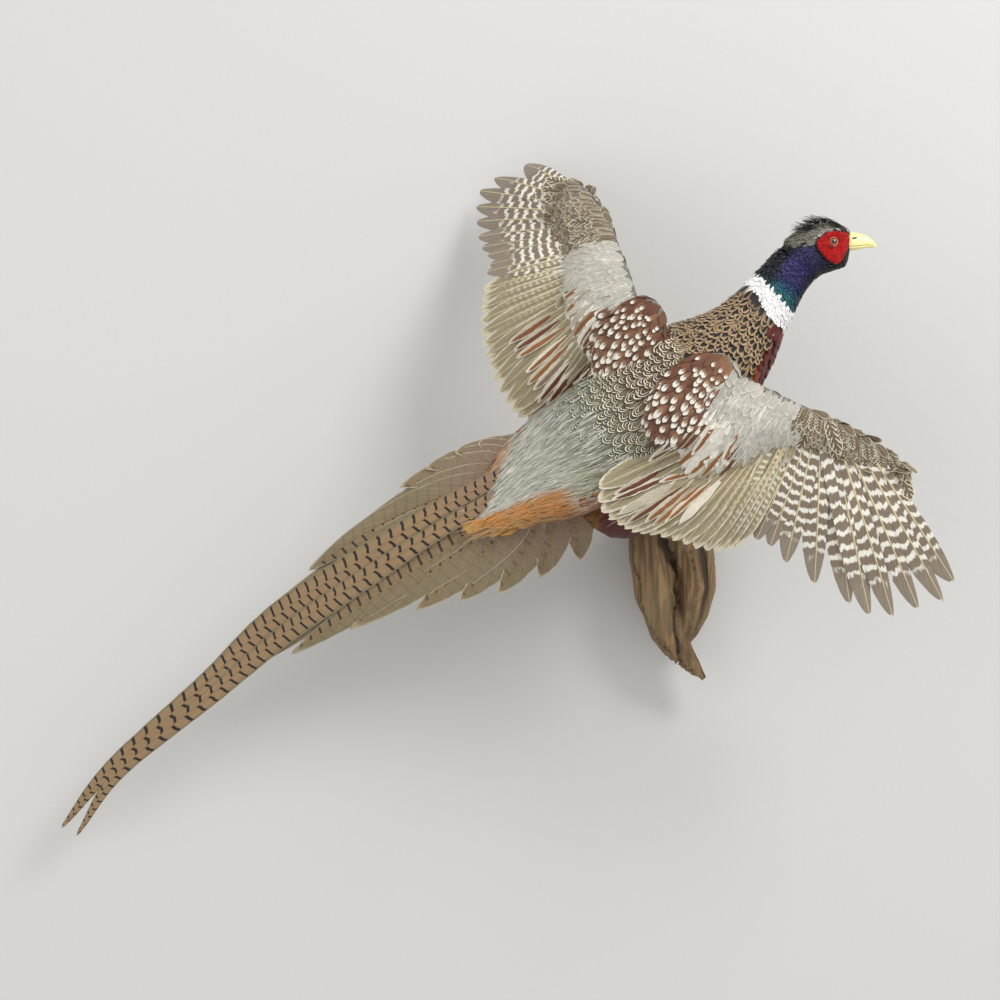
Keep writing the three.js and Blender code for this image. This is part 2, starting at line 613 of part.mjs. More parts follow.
function woodLimb({ path, radii }, order) {
  const curve = new THREE.CatmullRomCurve3(points(path), false, "centripetal");
  const radius = blended(radii);
  const steps = path.length + 1;
  const rings = [];
  for (let i = 0; i <= steps; i += 1) {
    const t = i / steps;
    const [right, up] = rolled(curve.getTangent(t), 30 * order + 40 * t);
    rings.push(Array.from({ length: WOOD_SIDES }, (_, side) => {
      const angle = (2 * Math.PI * side) / WOOD_SIDES;
      const flute = 1 + WOOD_FLUTE_DEPTH * Math.sin(WOOD_FLUTES * angle + order + 2 * t);
      const reach = radius(t) * flute;
      return curve.getPoint(t).addScaledVector(right, Math.cos(angle) * reach)
        .addScaledVector(up, Math.sin(angle) * reach * 0.86);
    }));
  }
  return solid(lofted(rings));
}

function buildDriftwood(legs) {
  const wood = WOOD_LIMBS.map(woodLimb).reduce((all, limb) => all.add(limb));
  const wall = new THREE.BoxGeometry(600, 100, 600).translate(0, 50, 0);
  return cut(wood, solid(wall), bodyRoom, ...legs.map((leg) => leg.flesh(GAP)));
}

// ---- assembly -----------------------------------------------------------------------------
const pheasant = new THREE.Group();

function place(name, body, color, roughness = 0.8) {
  const material = new THREE.MeshStandardMaterial({ color, roughness, metalness: 0 });
  const mesh = new THREE.Mesh(skinned(body), material);
  mesh.name = name;
  pheasant.add(mesh);
}

place("rump", body.rump, COLOUR.slate);
place("trunk", body.trunk, COLOUR.barred);
place("neck", body.neck, COLOUR.neck);
place("head", head, COLOUR.head);
place("crest", crest, COLOUR.crest);
place("bill_upper", billUpper, COLOUR.bill, 0.4);
place("bill_lower", billLower, COLOUR.bill, 0.4);
for (const [name, side] of [["right", -1], ["left", 1]]) {
  place(`eye_${name}`, face[name].eye, COLOUR.iris, 0.1);
  place(`wattle_${name}`, face[name].wattle, COLOUR.wattle, 0.5);
  place(`ear_tuft_${name}`, earTuft(side), COLOUR.crest);
}
for (const [name, shape] of Object.entries(WINGS)) {
  const wing = buildWing(shape);
  place(`wing_${name}_arm`, wing.arm, COLOUR.covert);
  place(`wing_${name}_hand`, wing.hand, COLOUR.covert);
  place(`wing_${name}_primaries`, wing.primaries, COLOUR.vane, 0.6);
  place(`wing_${name}_secondaries`, wing.secondaries, COLOUR.secondary, 0.6);
  place(`wing_${name}_scapulars`, wing.scapulars, COLOUR.copper);
}
const middleRoom = ["left", "right"].map((name) => longFeather(
  TAIL_CENTRE[name], TAIL_CENTRE[name === "left" ? "right" : "left"], GAP));
for (const [name, other] of [["left", "right"], ["right", "left"]]) {
  const middle = longFeather(TAIL_CENTRE[name], TAIL_CENTRE[other]);
  const room = name === "right" ? [middleRoom[0]] : [];
  place(`tail_centre_${name}`, cut(middle, bodyRoom, ...room), COLOUR.tail, 0.6);
  place(`tail_side_${name}`, cut(tailSide(TAIL_SIDE[name]), bodyRoom, ...middleRoom), COLOUR.tail, 0.6);
}
const legs = Object.entries(LEGS).map(([name, shape]) => {
  const leg = buildLeg(shape);
  place(`thigh_${name}`, leg.thigh, COLOUR.copper);
  place(`shank_${name}`, leg.shank, COLOUR.horn, 0.6);
  place(`foot_${name}`, leg.foot, COLOUR.horn, 0.6);
  return leg;
});
place("driftwood", buildDriftwood(legs), COLOUR.wood);

export default pheasant;
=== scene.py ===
"""Dresses a flying cock pheasant, mounted on driftwood for a wall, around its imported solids.

One skin stands for the bird's flesh. Feathers grow from it as thin closed vanes, joined into a few
pieces by kind and place, and the flight and tail feathers are built one by one in the same way.
"""

from __future__ import annotations

import json
import logging
import math
from dataclasses import dataclass, field
from enum import Enum, IntEnum
from functools import cached_property
from typing import Callable, Sequence

import bpy
import numpy as np
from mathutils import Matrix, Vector
from mathutils.bvhtree import BVHTree
from mathutils.kdtree import KDTree

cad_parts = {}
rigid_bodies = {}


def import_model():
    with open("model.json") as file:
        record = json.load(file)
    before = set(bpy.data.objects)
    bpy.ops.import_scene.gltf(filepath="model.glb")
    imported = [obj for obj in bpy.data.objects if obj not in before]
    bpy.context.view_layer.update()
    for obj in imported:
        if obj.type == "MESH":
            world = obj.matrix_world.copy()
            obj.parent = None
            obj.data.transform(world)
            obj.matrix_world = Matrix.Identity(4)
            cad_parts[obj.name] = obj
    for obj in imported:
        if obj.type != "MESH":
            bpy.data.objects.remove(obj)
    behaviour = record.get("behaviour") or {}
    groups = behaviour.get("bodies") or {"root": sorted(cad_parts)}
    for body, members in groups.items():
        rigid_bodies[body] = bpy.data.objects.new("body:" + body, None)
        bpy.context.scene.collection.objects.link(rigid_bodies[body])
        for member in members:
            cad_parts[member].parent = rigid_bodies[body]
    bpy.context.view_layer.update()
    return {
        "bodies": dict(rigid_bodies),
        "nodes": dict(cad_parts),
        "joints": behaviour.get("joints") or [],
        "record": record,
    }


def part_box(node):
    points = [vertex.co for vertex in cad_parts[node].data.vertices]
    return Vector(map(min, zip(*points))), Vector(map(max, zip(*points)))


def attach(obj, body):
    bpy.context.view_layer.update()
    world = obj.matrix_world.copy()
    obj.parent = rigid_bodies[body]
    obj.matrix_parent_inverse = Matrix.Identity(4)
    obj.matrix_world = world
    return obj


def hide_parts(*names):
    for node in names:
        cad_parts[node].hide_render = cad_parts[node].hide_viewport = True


LOG = logging.getLogger("pheasant")
BODY = "root"
MM = 0.001
VIEWER = np.array([0.0, -1.0, 0.0])  # the way the mount shows itself, out of the wall
Array = np.ndarray
Colours = tuple[Array, Array, Array]  # the ground, mark and fringe of a set of feathers
Shades = Callable[[Array, Array], Colours]  # from places along and round the body, or along and across a wing
Keep = Callable[[Array, Array, Array], Array]  # which feathers grow, from their places and points


class Side(Enum):
    """The bird's own right and left."""

    RIGHT = "right"
    LEFT = "left"

    @property
    def sign(self) -> float:
        """Which way it lies from the middle, seen from the wall's front."""
        return -1.0 if self is Side.RIGHT else 1.0


class Part(IntEnum):
    """What a place on the skin, or a feather on it, belongs to."""

    TRUNK = 0
    WING = 1
    THIGH = 2
    LINING = 3


def tone(red: int, green: int, blue: int) -> tuple[float, float, float]:
    """A colour as the eye names it, 0 to 255, as the linear light that a shader takes.

    Args:
        red: the red share.
        green: the green share.
        blue: the blue share.

    Returns:
        Three linear values from 0 to 1.
    """
    shares = (c / 255 for c in (red, green, blue))
    return tuple(c / 12.92 if c <= 0.04045 else ((c + 0.055) / 1.055) ** 2.4 for c in shares)


class Colour(Enum):
    """The bird's and the wood's colours."""

    BLACK = tone(20, 16, 14)
    NAPE = tone(12, 16, 14)
    CROWN = tone(112, 108, 94)
    CROWN_PALE = tone(196, 188, 180)
    PURPLE = tone(44, 34, 92)
    BLUE = tone(24, 38, 92)
    TEAL = tone(12, 92, 98)
    COLLAR = tone(250, 249, 246)
    BUFF = tone(180, 146, 104)
    BREAST = tone(104, 22, 10)
    BREAST_DARK = tone(48, 12, 12)
    AMBER = tone(180, 92, 16)
    BACK = tone(118, 86, 62)
    CREAM = tone(234, 224, 198)
    SAGE = tone(138, 140, 116)
    MOSS = tone(172, 170, 108)
    RUMP = tone(208, 204, 188)
    RUMP_DARK = tone(160, 160, 152)
    RUMP_PALE = tone(246, 243, 230)
    ORANGE = tone(226, 144, 16)
    TAWNY = tone(186, 142, 74)
    MAROON = tone(70, 26, 16)
    BELLY = tone(44, 32, 26)
    CHESTNUT = tone(104, 58, 36)
    WHITE = tone(242, 234, 218)
    COVERT = tone(186, 181, 168)
    COVERT_PALE = tone(242, 238, 226)
    # the pale coverts darkened by painted shade
    COVERT_DARK = tone(150, 146, 136)
    SCAPULAR = tone(142, 100, 66)
    GOLD = tone(156, 100, 48)
    PRIMARY = tone(134, 118, 100)
    PRIMARY_PLAIN = tone(150, 137, 120)
    SECONDARY = tone(160, 147, 117)
    BAR = tone(244, 239, 226)
    EDGE = tone(226, 216, 190)
    HAND = tone(108, 92, 70)
    LINING = tone(206, 198, 180)
    TAIL = tone(160, 130, 94)
    TAIL_OLIVE = tone(140, 122, 88)
    KHAKI = tone(138, 124, 94)
    THIGH = tone(128, 88, 40)
    # the thighs' own maroon, darkened further by painted shade
    THIGH_DARK = tone(78, 26, 16)
    MAUVE = tone(150, 118, 104)
    CREST = tone(84, 76, 58)
    TAIL_SHAFT = tone(150, 126, 88)
    SHAFT = tone(222, 206, 164)


@dataclass(frozen=True)
class Girth:
    """One station of the body, from the tail's root to the bill: its middle, reach and roll."""

    at: tuple[float, float, float]
    half: float
    back: float
    belly: float
    roll: float


SPINE = (
    Girth((-0.183, -0.180, 0.042), 0.022, 0.004, 0.005, 14),
    Girth((-0.156, -0.187, 0.058), 0.034, 0.011, 0.013, 14),
    Girth((-0.127, -0.195, 0.078), 0.049, 0.024, 0.028, 16),
    Girth((-0.098, -0.204, 0.095), 0.057, 0.040, 0.046, 21),
    Girth((-0.063, -0.216, 0.115), 0.060, 0.054, 0.060, 25),
    Girth((-0.020, -0.231, 0.141), 0.066, 0.060, 0.074, 30),
    Girth((0.022, -0.246, 0.172), 0.064, 0.056, 0.070, 38),
    Girth((0.056, -0.260, 0.199), 0.049, 0.045, 0.052, 50),
    Girth((0.083, -0.269, 0.229), 0.034, 0.033, 0.035, 62),
    Girth((0.098, -0.273, 0.248), 0.026, 0.032, 0.028, 72),
    Girth((0.111, -0.275, 0.266), 0.020, 0.0275, 0.023, 82),
    Girth((0.125, -0.277, 0.285), 0.018, 0.026, 0.023, 90),
    Girth((0.138, -0.277, 0.295), 0.0185, 0.025, 0.0255, 90),
    Girth((0.152, -0.277, 0.301), 0.0175, 0.023, 0.0265, 90),
    Girth((0.1635, -0.277, 0.3055), 0.014, 0.0175, 0.026, 90),
    Girth((0.1705, -0.277, 0.3065), 0.0095, 0.012, 0.0185, 90),
    Girth((0.1745, -0.277, 0.3057), 0.0056, 0.0074, 0.009, 90),
)


def unit(rows: Array) -> Array:
    """Each row scaled to length one."""
    return rows / np.maximum(np.linalg.norm(rows, axis=-1, keepdims=True), 1e-12)


def eased(value: Array, low: float, high: float) -> Array:
    """A smooth step of value from 0 at low to 1 at high."""
    share = np.clip((np.asarray(value, float) - low) / (high - low), 0, 1)
    return share * share * (3 - 2 * share)


def curve(knots: Sequence, share: Array) -> Array:
    """A smooth curve through evenly spaced knots.

    Args:
        knots: the points or numbers to pass through.
        share: how far along, 0 at the first knot and 1 at the last.

    Returns:
        One row for each share.
    """
    through = np.asarray(knots, float)
    last = len(through) - 1
    reach = np.clip(np.asarray(share, float), 0, 1) * last
    index = np.minimum(reach.astype(int), last - 1)
    part = reach - index
    part = part.reshape(part.shape + (1,) * (through.ndim - 1))
    ends = (2 * through[:1] - through[1:2], through, 2 * through[-1:] - through[-2:-1])
    a, b, c, d = (np.concatenate(ends)[index + k] for k in range(4))
    return b + 0.5 * part * (c - a + part * (2 * a - 5 * b + 4 * c - d + part * (3 * (b - c) + d - a)))


def mixed(low: Array | Colour, high: Array | Colour, share: Array | float) -> Array:
    """Rows between low and high by each row's share.

    Args:
        low: the rows, or the one colour, at a share of 0.
        high: the rows, or the one colour, at a share of 1.
        share: one share for each row, or for all.

    Returns:
        The mixed rows.
    """
    weight = np.asarray(share, float)[..., None]
    low, high = (np.array(end.value if isinstance(end, Colour) else end) for end in (low, high))
    return low * (1 - weight) + high * weight


def colours(colour: Colour, count: int) -> Array:
    """One colour repeated for count feathers."""
    return np.tile(np.array(colour.value), (count, 1))


def dyed(*shades: Colour) -> Shades:
    """A ground, mark and fringe that are the same at every place."""
    return lambda first, second: tuple(colours(shade, len(first)) for shade in shades)


def tree_of(*objects: bpy.types.Object) -> BVHTree:
    """One search tree over the faces of several objects.

    Args:
        objects: the objects.

    Returns:
        The tree.
    """
    points: list = []
    faces: list = []
    for item in objects:
        start = len(points)
        points.extend(tuple(v.co) for v in item.data.vertices)
        faces.extend(tuple(start + i for i in p.vertices) for p in item.data.polygons)
    return BVHTree.FromPolygons(points, faces)


def cast(tree: BVHTree, starts: Array, aims: Array, reach: float = 10.0) -> tuple[Array, Array]:
    """Finds where rays meet a surface.

    Args:
        tree: the surface's search tree.
        starts: where the rays start.
        aims: the way of each ray, or one way for all.
        reach: how far they go.

    Returns:
        The places and the surface's normals there, all nan where a ray meets nothing.
    """
    missed = (math.nan,) * 3
    rays = zip(starts, np.broadcast_to(aims, starts.shape))
    found = [tree.ray_cast(Vector(start), Vector(aim), reach)[:2] for start, aim in rays]
    return tuple(np.array([missed if place is None else tuple(place) for place in places])
                 for places in zip(*found))


def covered(tree: BVHTree, path: Array, way: Array, reach: float = 10.0) -> Array:
    """Which feathers a surface hides along one way, but for their roots."""
    return np.array([not np.isnan(cast(tree, line[2:], way, reach)[0]).any() for line in path])


def settle(knots: Array, plate: BVHTree, reach: float, sink: float, first: float) -> Array:
    """Moves a long shaft's knots, all but its root, to just under the face of the plate it replaces.

    Args:
        knots: the shaft's points, moved in place.
        plate: the plate's search tree.
        reach: how far from the knots the plate is looked for.
        sink: how far under its face they go.
        first: the share of its way that the knot beside the root goes.

    Returns:
        The plate's mean normal there, or the viewer's way where it is missed.
    """
    places, leans = cast(plate, knots[1:] + VIEWER * reach, -VIEWER, 2 * reach)
    met = ~np.isnan(places[:, 0])
    depth = (places - knots[1:]) @ VIEWER - sink
    depth[0] *= first
    knots[1:][met] += VIEWER * depth[met, None]
    return unit(leans[met].mean(0)) if met.any() else VIEWER


def raised(lift: float, root: float, v: Array, scatter: Array) -> Array:
    """The height over the skin along each feather, from a share of the lift at its root."""
    return lift * (root + (1 - root) * v[None, :] ** 0.8) * scatter


def only(item: bpy.types.Object | None = None) -> None:
    """Deselects everything, and then selects one object and makes it active.

    Args:
        item: the object, or None to leave nothing selected.
    """
    for other in bpy.context.selected_objects:
        other.select_set(False)
    if item is not None:
        item.select_set(True)
        bpy.context.view_layer.objects.active = item


def edited(item: bpy.types.Object, change: Callable[..., object], **settings: object) -> None:
    """Runs one operator in edit mode on all of an object.

    Args:
        item: the object.
        change: the operator.
        settings: what it takes.
    """
    only(item)
    bpy.ops.object.mode_set(mode="EDIT")
    bpy.ops.mesh.select_all(action="SELECT")
    change(**settings)
    bpy.ops.object.mode_set(mode="OBJECT")


def primitive(name: str, add: Callable[..., object], **settings: object) -> bpy.types.Object:
    """Adds a smooth primitive at the origin, with its turn applied.

    Args:
        name: the new object's name.
        add: the operator that adds it.
        settings: what the operator takes.

    Returns:
        The object.
    """
    only()
    add(location=(0, 0, 0), **settings)
    item = bpy.context.view_layer.objects.active
    item.name = name
    bpy.ops.object.transform_apply(location=False, rotation=True, scale=False)
    bpy.ops.object.shade_smooth()
    return item


def merged_copy(name: str, nodes: Sequence[str], frame: dict) -> bpy.types.Object:
    """A new object that joins copies of CAD nodes, with doubled points merged.

    Args:
        name: the new object's name.
        nodes: the CAD nodes to copy.
        frame: the loaded frame.

    Returns:
        The joined object.
    """
    copies = []
    for node in nodes:
        copy = bpy.data.objects.new(name, frame["nodes"][node].data.copy())
        bpy.context.scene.collection.objects.link(copy)
        copy.data.materials.clear()
        copies.append(copy)
    only(copies[0])
    for copy in copies:
        copy.select_set(True)
    if len(copies) > 1:
        bpy.ops.object.join()
    joined = bpy.context.view_layer.objects.active
    joined.name = name
    edited(joined, bpy.ops.mesh.remove_doubles, threshold=0.00001)
    return joined


def applied(item: bpy.types.Object, kind: str, **settings: object) -> None:
    """Adds one modifier to an object, sets it up and applies it.

    Args:
        item: the object.
        kind: the modifier's type.
        settings: its settings.
    """
    only(item)
    modifier = item.modifiers.new(kind.title(), kind)
    for key, value in settings.items():
        setattr(modifier, key, value)
    bpy.ops.object.modifier_apply(modifier=modifier.name)


def read(rows: bpy.types.bpy_prop_collection, key: str) -> Array:
    """Reads one vector from each of an object's points.

    Args:
        rows: what holds the vectors.
        key: what a vector is called there.

    Returns:
        One row for each point.
    """
    flat = np.zeros(len(rows) * 3)
    rows.foreach_get(key, flat)
    return flat.reshape(-1, 3)


def coordinates(item: bpy.types.Object) -> Array:
    """An object's points as rows."""
    return read(item.data.vertices, "co")


def move_to(item: bpy.types.Object, points: Array) -> None:
    """Puts an object's points at the given rows."""
    item.data.vertices.foreach_set("co", points.ravel())
    item.data.update()


def normals(item: bpy.types.Object) -> Array:
    """The unit normal at each of an object's points."""
    return read(item.data.vertex_normals, "vector")


def new_mesh(name: str, points: Array, triangles: Array) -> bpy.types.Object:
    """A smooth mesh object from points and triangles.

    Args:
        name: the object's name.
        points: its points.
        triangles: the points of each triangle.

    Returns:
        The object.
    """
    mesh = bpy.data.meshes.new(name)
    mesh.vertices.add(len(points))
    mesh.vertices.foreach_set("co", np.ascontiguousarray(points, dtype=np.float32).ravel())
    mesh.loops.add(triangles.size)
    mesh.loops.foreach_set("vertex_index", np.ascontiguousarray(triangles, dtype=np.int32).ravel())
    mesh.polygons.add(len(triangles))
    mesh.polygons.foreach_set("loop_start", np.arange(0, triangles.size, 3, dtype=np.int32))
    mesh.polygons.foreach_set("use_smooth", np.ones(len(triangles), dtype=bool))
    mesh.update()
    mesh.validate()
    item = bpy.data.objects.new(name, mesh)
    bpy.context.scene.collection.objects.link(item)
    return item


def paint(item: bpy.types.Object, name: str, values: Array) -> None:
    """Stores one colour for each point of an object under a name."""
    layer = item.data.attributes.new(name, "FLOAT_COLOR", "POINT")
    layer.data.foreach_set("color", np.insert(np.asarray(values, np.float32), 3, 1, axis=1).ravel())


def note(item: bpy.types.Object, name: str, values: Array) -> None:
    """Stores one number for each point of an object under a name."""
    layer = item.data.attributes.new(name, "FLOAT", "POINT")
    layer.data.foreach_set("value", np.asarray(values, np.float32))


def lay_map(item: bpy.types.Object, name: str, places: Array) -> None:
    """Gives an object a UV map from one place for each point.

    Args:
        item: the object.
        name: the map's name.
        places: one place for each point.
    """
    layer = item.data.uv_layers.new(name=name)
    corners = np.zeros(len(item.data.loops), np.int32)
    item.data.loops.foreach_get("vertex_index", corners)
    layer.data.foreach_set("uv", places[corners].astype(np.float32).ravel())


# ------------------------------------------------------------------ finishes


@dataclass(frozen=True)
class Value:
    """A number or colour on its way through a material's nodes, which sums and products extend."""

    sheet: Sheet
    socket: bpy.types.NodeSocket

    def maths(self, operation: str, *inputs: Value | float) -> Value:
        """The result of one Math node with this value first."""
        return self.sheet.value("Math", self, *inputs, operation=operation)

    def __add__(self, other: Value | float) -> Value:
        """The sum of both."""
        return self.maths("ADD", other)

    def __sub__(self, other: Value | float) -> Value:
        """What is left of this without the other."""
        return self.maths("SUBTRACT", other)

    def __mul__(self, other: Value | float) -> Value:
        """The product of both."""
        return self.maths("MULTIPLY", other)

    def __truediv__(self, other: Value | float) -> Value:
        """This divided by the other."""
        return self.maths("DIVIDE", other)

    def __abs__(self) -> Value:
        """Its size without its sign."""
        return self.maths("ABSOLUTE")

    def most(self, other: Value | float) -> Value:
        """The larger of both."""
        return self.maths("MAXIMUM", other)

    def rest(self) -> Value:
        """What it lacks of one."""
        return self.sheet.value("Math", 1.0, self, operation="SUBTRACT")

    def step(self, low: float, high: float) -> Value:
        """A smooth step from 0 at low to 1 at high."""
        return self.sheet.value("MapRange", self, low, high, 0.0, 1.0, interpolation_type="SMOOTHSTEP")

    def band(self, low: float, high: float, soft: float = 0.03) -> Value:
        """One between low and high, falling off over soft on both sides."""
        return self.step(low - soft, low + soft) * self.step(high + soft, high - soft)

    def mix(self, low: object, high: object) -> Value:
        """A colour from low to high by this share."""
        return self.sheet.blend(self, low, high)


class Sheet:
    """A material's nodes, with short calls for those that the finishes use."""

    def __init__(self, name: str) -> None:
        """Starts a material with one Principled shader.

        Args:
            name: the material's name.
        """
        self.material = bpy.data.materials.new(name)
        self.material.use_nodes = True
        self.tree = self.material.node_tree
        self.shader = next(n for n in self.tree.nodes if n.type == "BSDF_PRINCIPLED")

    def set(self, **values: object) -> bpy.types.Material:
        """Sets the shader's own sockets, with _ for a space in each name, and gives the material.

        Args:
            values: a value for each socket.

        Returns:
            The material.
        """
        for key, value in values.items():
            self.feed(self.shader.inputs[key.replace("_", " ")], value)
        return self.material

    def feed(self, socket: bpy.types.NodeSocket, value: object) -> None:
        """Links a socket to a value, or sets it.

        Args:
            socket: the socket.
            value: a value of the sheet, a colour, a number or None for what it has.
        """
        if isinstance(value, Value):
            self.tree.links.new(value.socket, socket)
        elif isinstance(value, Colour):
            socket.default_value = (*value.value, 1)
        elif value is not None:
            socket.default_value = (*value, 1) if socket.type == "RGBA" else value

    def node(self, kind: str, *inputs: object, **settings: object) -> bpy.types.Node:
        """Adds a node, with its settings and its first inputs in order.

        Args:
            kind: the node's type.
            inputs: its first inputs.
            settings: its settings.

        Returns:
            The node.
        """
        made = self.tree.nodes.new("ShaderNode" + kind)
        for key, value in settings.items():
            setattr(made, key, value)
        for socket, value in zip(made.inputs, inputs):
            self.feed(socket, value)
        return made

    def value(self, kind: str, *inputs: object, output: int | str = 0, **settings: object) -> Value:
        """Adds a node and takes one of its outputs."""
        return Value(self, self.node(kind, *inputs, **settings).outputs[output])

    def blend(self, share: object, low: object, high: object, kind: str = "MIX") -> Value:
        """A colour between low and high.

        Args:
            share: how much of the high colour there is.
            low: the colour at 0.
            high: the colour at 1.
            kind: how they are mixed.

        Returns:
            The mixed colour.
        """
        made = self.node("Mix", data_type="RGBA", blend_type=kind)
        for index, value in ((0, share), (6, low), (7, high)):
            self.feed(made.inputs[index], value)
        return Value(self, made.outputs[2])

    def noise(self, vector: Value, scale: float, detail: float = 2.0) -> Value:
        """The grey value of a noise pattern, about 0.5."""
        return self.value("TexNoise", vector, None, scale, detail)

    def vector(self, *parts: Value) -> Value:
        """A place from its three parts."""
        return self.value("CombineXYZ", *parts)

    def part(self, place: Value, axis: int) -> Value:
        """One part of a place."""
        return self.value("SeparateXYZ", place, output=axis)

    def place(self) -> Value:
        """The place on the object."""
        return self.value("TexCoord", output="Object")

    def colour(self, name: str) -> Value:
        """A colour stored on the mesh."""
        return self.value("Attribute", attribute_name=name, output="Color")

    def number(self, name: str) -> Value:
        """A number stored on the mesh."""
        return self.value("Attribute", attribute_name=name, output="Fac")

    def bump(self, height: Value, strength: float, distance: float) -> None:
        """Roughens the surface by a height pattern.

        Args:
            height: the pattern.
            strength: how strong it is.
            distance: how high it stands.
        """
        made = self.node("Bump")
        for key, value in (("Strength", strength), ("Distance", distance), ("Height", height)):
            self.feed(made.inputs[key], value)
        self.tree.links.new(made.outputs[0], self.shader.inputs["Normal"])


class Mark(Enum):
    """The markings that a feather of each kind carries, each drawn by the brush's method of that name."""

    PLAIN = "plain"
    LACE = "lace"
    SCALE = "scale"
    SCALLOP = "scallop"
    DROP = "drop"
    STREAK = "streak"
    BARRED = "barred"
    CHAIN = "chain"
    LATTICE = "lattice"
    TAIL = "tail"


class Brush:
    """Draws a feather's marking from the place on its vane: across it, along it and out to its rim."""

    def __init__(self, sheet: Sheet, tip: float) -> None:
        """Finds the place on the feather and its own colours.

        Args:
            sheet: the material's nodes.
            tip: the share of the feather's length that its rounded end takes up.
        """
        self.sheet = sheet
        place = sheet.value("UVMap", uv_map="Vane")
        self.across = sheet.part(place, 0) * 2.0 + -1.0
        self.along = sheet.part(place, 1)
        self.away = abs(self.across)
        self.chance = sheet.number("chance")
        grain = sheet.vector(self.across, self.along * 4.0, self.chance * 40.0)
        self.wobble = sheet.noise(grain, 3.0) - 0.5
        rise = ((self.along - (1 - tip)) / tip).most(0.0).maths("MINIMUM", 1.0)
        square = rise * rise
        near = (self.across * self.across * square.rest() + square).maths("SQRT")
        self.rim = self.wobble * 0.10 + near
        self.ground, self.mark, self.fringe = (sheet.colour(key) for key in ("ground", "mark", "fringe"))

    def plain(self) -> Value:
        """One colour with a fringe and a fine shaft line."""
        ground = self.rim.step(0.62, 0.98).mix(self.ground, self.fringe)
        return (self.away.step(0.12, 0.02) * 0.6).mix(ground, self.mark)

    def lace(self) -> Value:
        """Pale hair along both sides of a darker middle."""
        ground = (self.wobble * 0.5 + self.away).step(0.42, 0.86).mix(self.ground, self.fringe)
        return (self.away.step(0.12, 0.02) * 0.5).mix(ground, self.fringe)

    def scale(self) -> Value:
        """A pale scale with a dark heart that runs out in a point, and a thin dark edge.

        Returns:
            The colour.
        """
        heart = (self.away * 0.25 + self.rim).step(0.80, 0.68)
        point = self.away.step(0.16, 0.06) * self.along.step(0.76, 0.84)
        dark = heart.most(point).most(self.rim.band(0.96, 1.2))
        return dark.mix(self.rim.step(0.80, 0.95).mix(self.ground, self.fringe), self.mark)

    def scallop(self) -> Value:
        """Nested dark and pale bows that follow the feather's end.

        Returns:
            The colour.
        """
        dark = self.rim.band(0.86, 0.95).most(self.rim.band(0.60, 0.69)).most(self.rim.band(0.30, 0.38))
        pale = self.rim.band(0.71, 0.83).most(self.rim.band(0.44, 0.52))
        return dark.mix(pale.mix(self.ground, self.fringe), self.mark)

    def drop(self) -> Value:
        """A pale bow that fades up into a warm feather, with a dark rim round it.

        Returns:
            The colour.
        """
        rise = (self.along - 0.77) * 4.4
        side = self.across * (self.along * -4.6 + 5.4)
        wide = side * side
        far = (self.wobble * 0.35 + (rise * rise + wide).maths("SQRT")) * (self.chance * 0.35 + 0.76)
        bow = (wide * 0.14 + self.along).step(0.68, 0.86)
        drop = bow.mix(self.sheet.blend(0.12, self.ground, self.fringe), self.fringe)
        ground = (self.rim.step(0.86, 0.97) * 0.55).mix(self.ground, self.mark)
        ring = far.band(0.86, 1.08, 0.06) * self.along.step(0.60, 0.72)
        return far.step(0.92, 0.80).mix(ring.mix(ground, self.mark), drop)

    def streak(self) -> Value:
        """A pale feather with one long coloured stripe beside its shaft.

        Returns:
            The colour.
        """
        off = self.wobble * 0.3 + abs(self.across + 0.28)
        stripe = off.step(0.54, 0.42) * self.along.step(0.95, 0.87) * self.chance.step(0.24, 0.28)
        dull = (self.chance * 9.0).maths("FRACT").mix(self.ground, Colour.SECONDARY)
        return stripe.mix(self.rim.step(0.86, 1.0).mix(dull, self.fringe), self.mark)

    def bars(self, count: float, slant: float, share: float) -> Value:
        """Ragged bars across both webs, which don't quite meet at the shaft.

        Args:
            count: how many bars there are.
            slant: how far they lean towards the root.
            share: how much of the feather they cover.

        Returns:
            One on a bar and 0 off it.
        """
        phase = self.along * count + self.away * slant + self.across.maths("SIGN") * 0.18
        wave = (phase + self.wobble * 0.8 + self.chance * 7.0).maths("FRACT")
        return wave.band(0.5 - share / 2, 0.5 + share / 2, 0.07)

    def barred(self) -> Value:
        """Bold pale bars that stop before the plain tip.

        Returns:
            The colour.
        """
        fade = (self.wobble * 0.2 + self.along).step(0.84, 0.76)
        bars = self.bars(13.0, -0.15, 0.38) * fade * self.away.step(0.03, 0.12)
        return bars.mix(self.along.step(0.70, 0.95).mix(self.ground, self.fringe), self.mark)

    def chain(self) -> Value:
        """Pale edges and shaft line, with a chain of small marks beside them.

        Returns:
            The colour.
        """
        zone = self.away.band(0.42, 0.78, 0.08) + self.away.band(0.06, 0.2, 0.04)
        fade = self.along.step(0.92, 0.62)
        links = self.bars(20.0, -0.5, 0.45) * zone * fade * self.sheet.number("barring")
        edge = (self.wobble * 0.3 + self.rim).step(0.80, 0.98)
        dark = self.away.band(0.30, 0.44, 0.05) * fade * 0.55
        return dark.mix(links.most(edge).mix(self.ground, self.fringe), self.mark)

    def lattice(self) -> Value:
        """A dark feather with pale edges and pale chevrons."""
        bars = self.bars(7.0, -1.4, 0.30) * self.away.step(0.10, 0.30)
        return bars.most(self.rim.step(0.82, 0.92)).mix(self.ground, self.fringe)

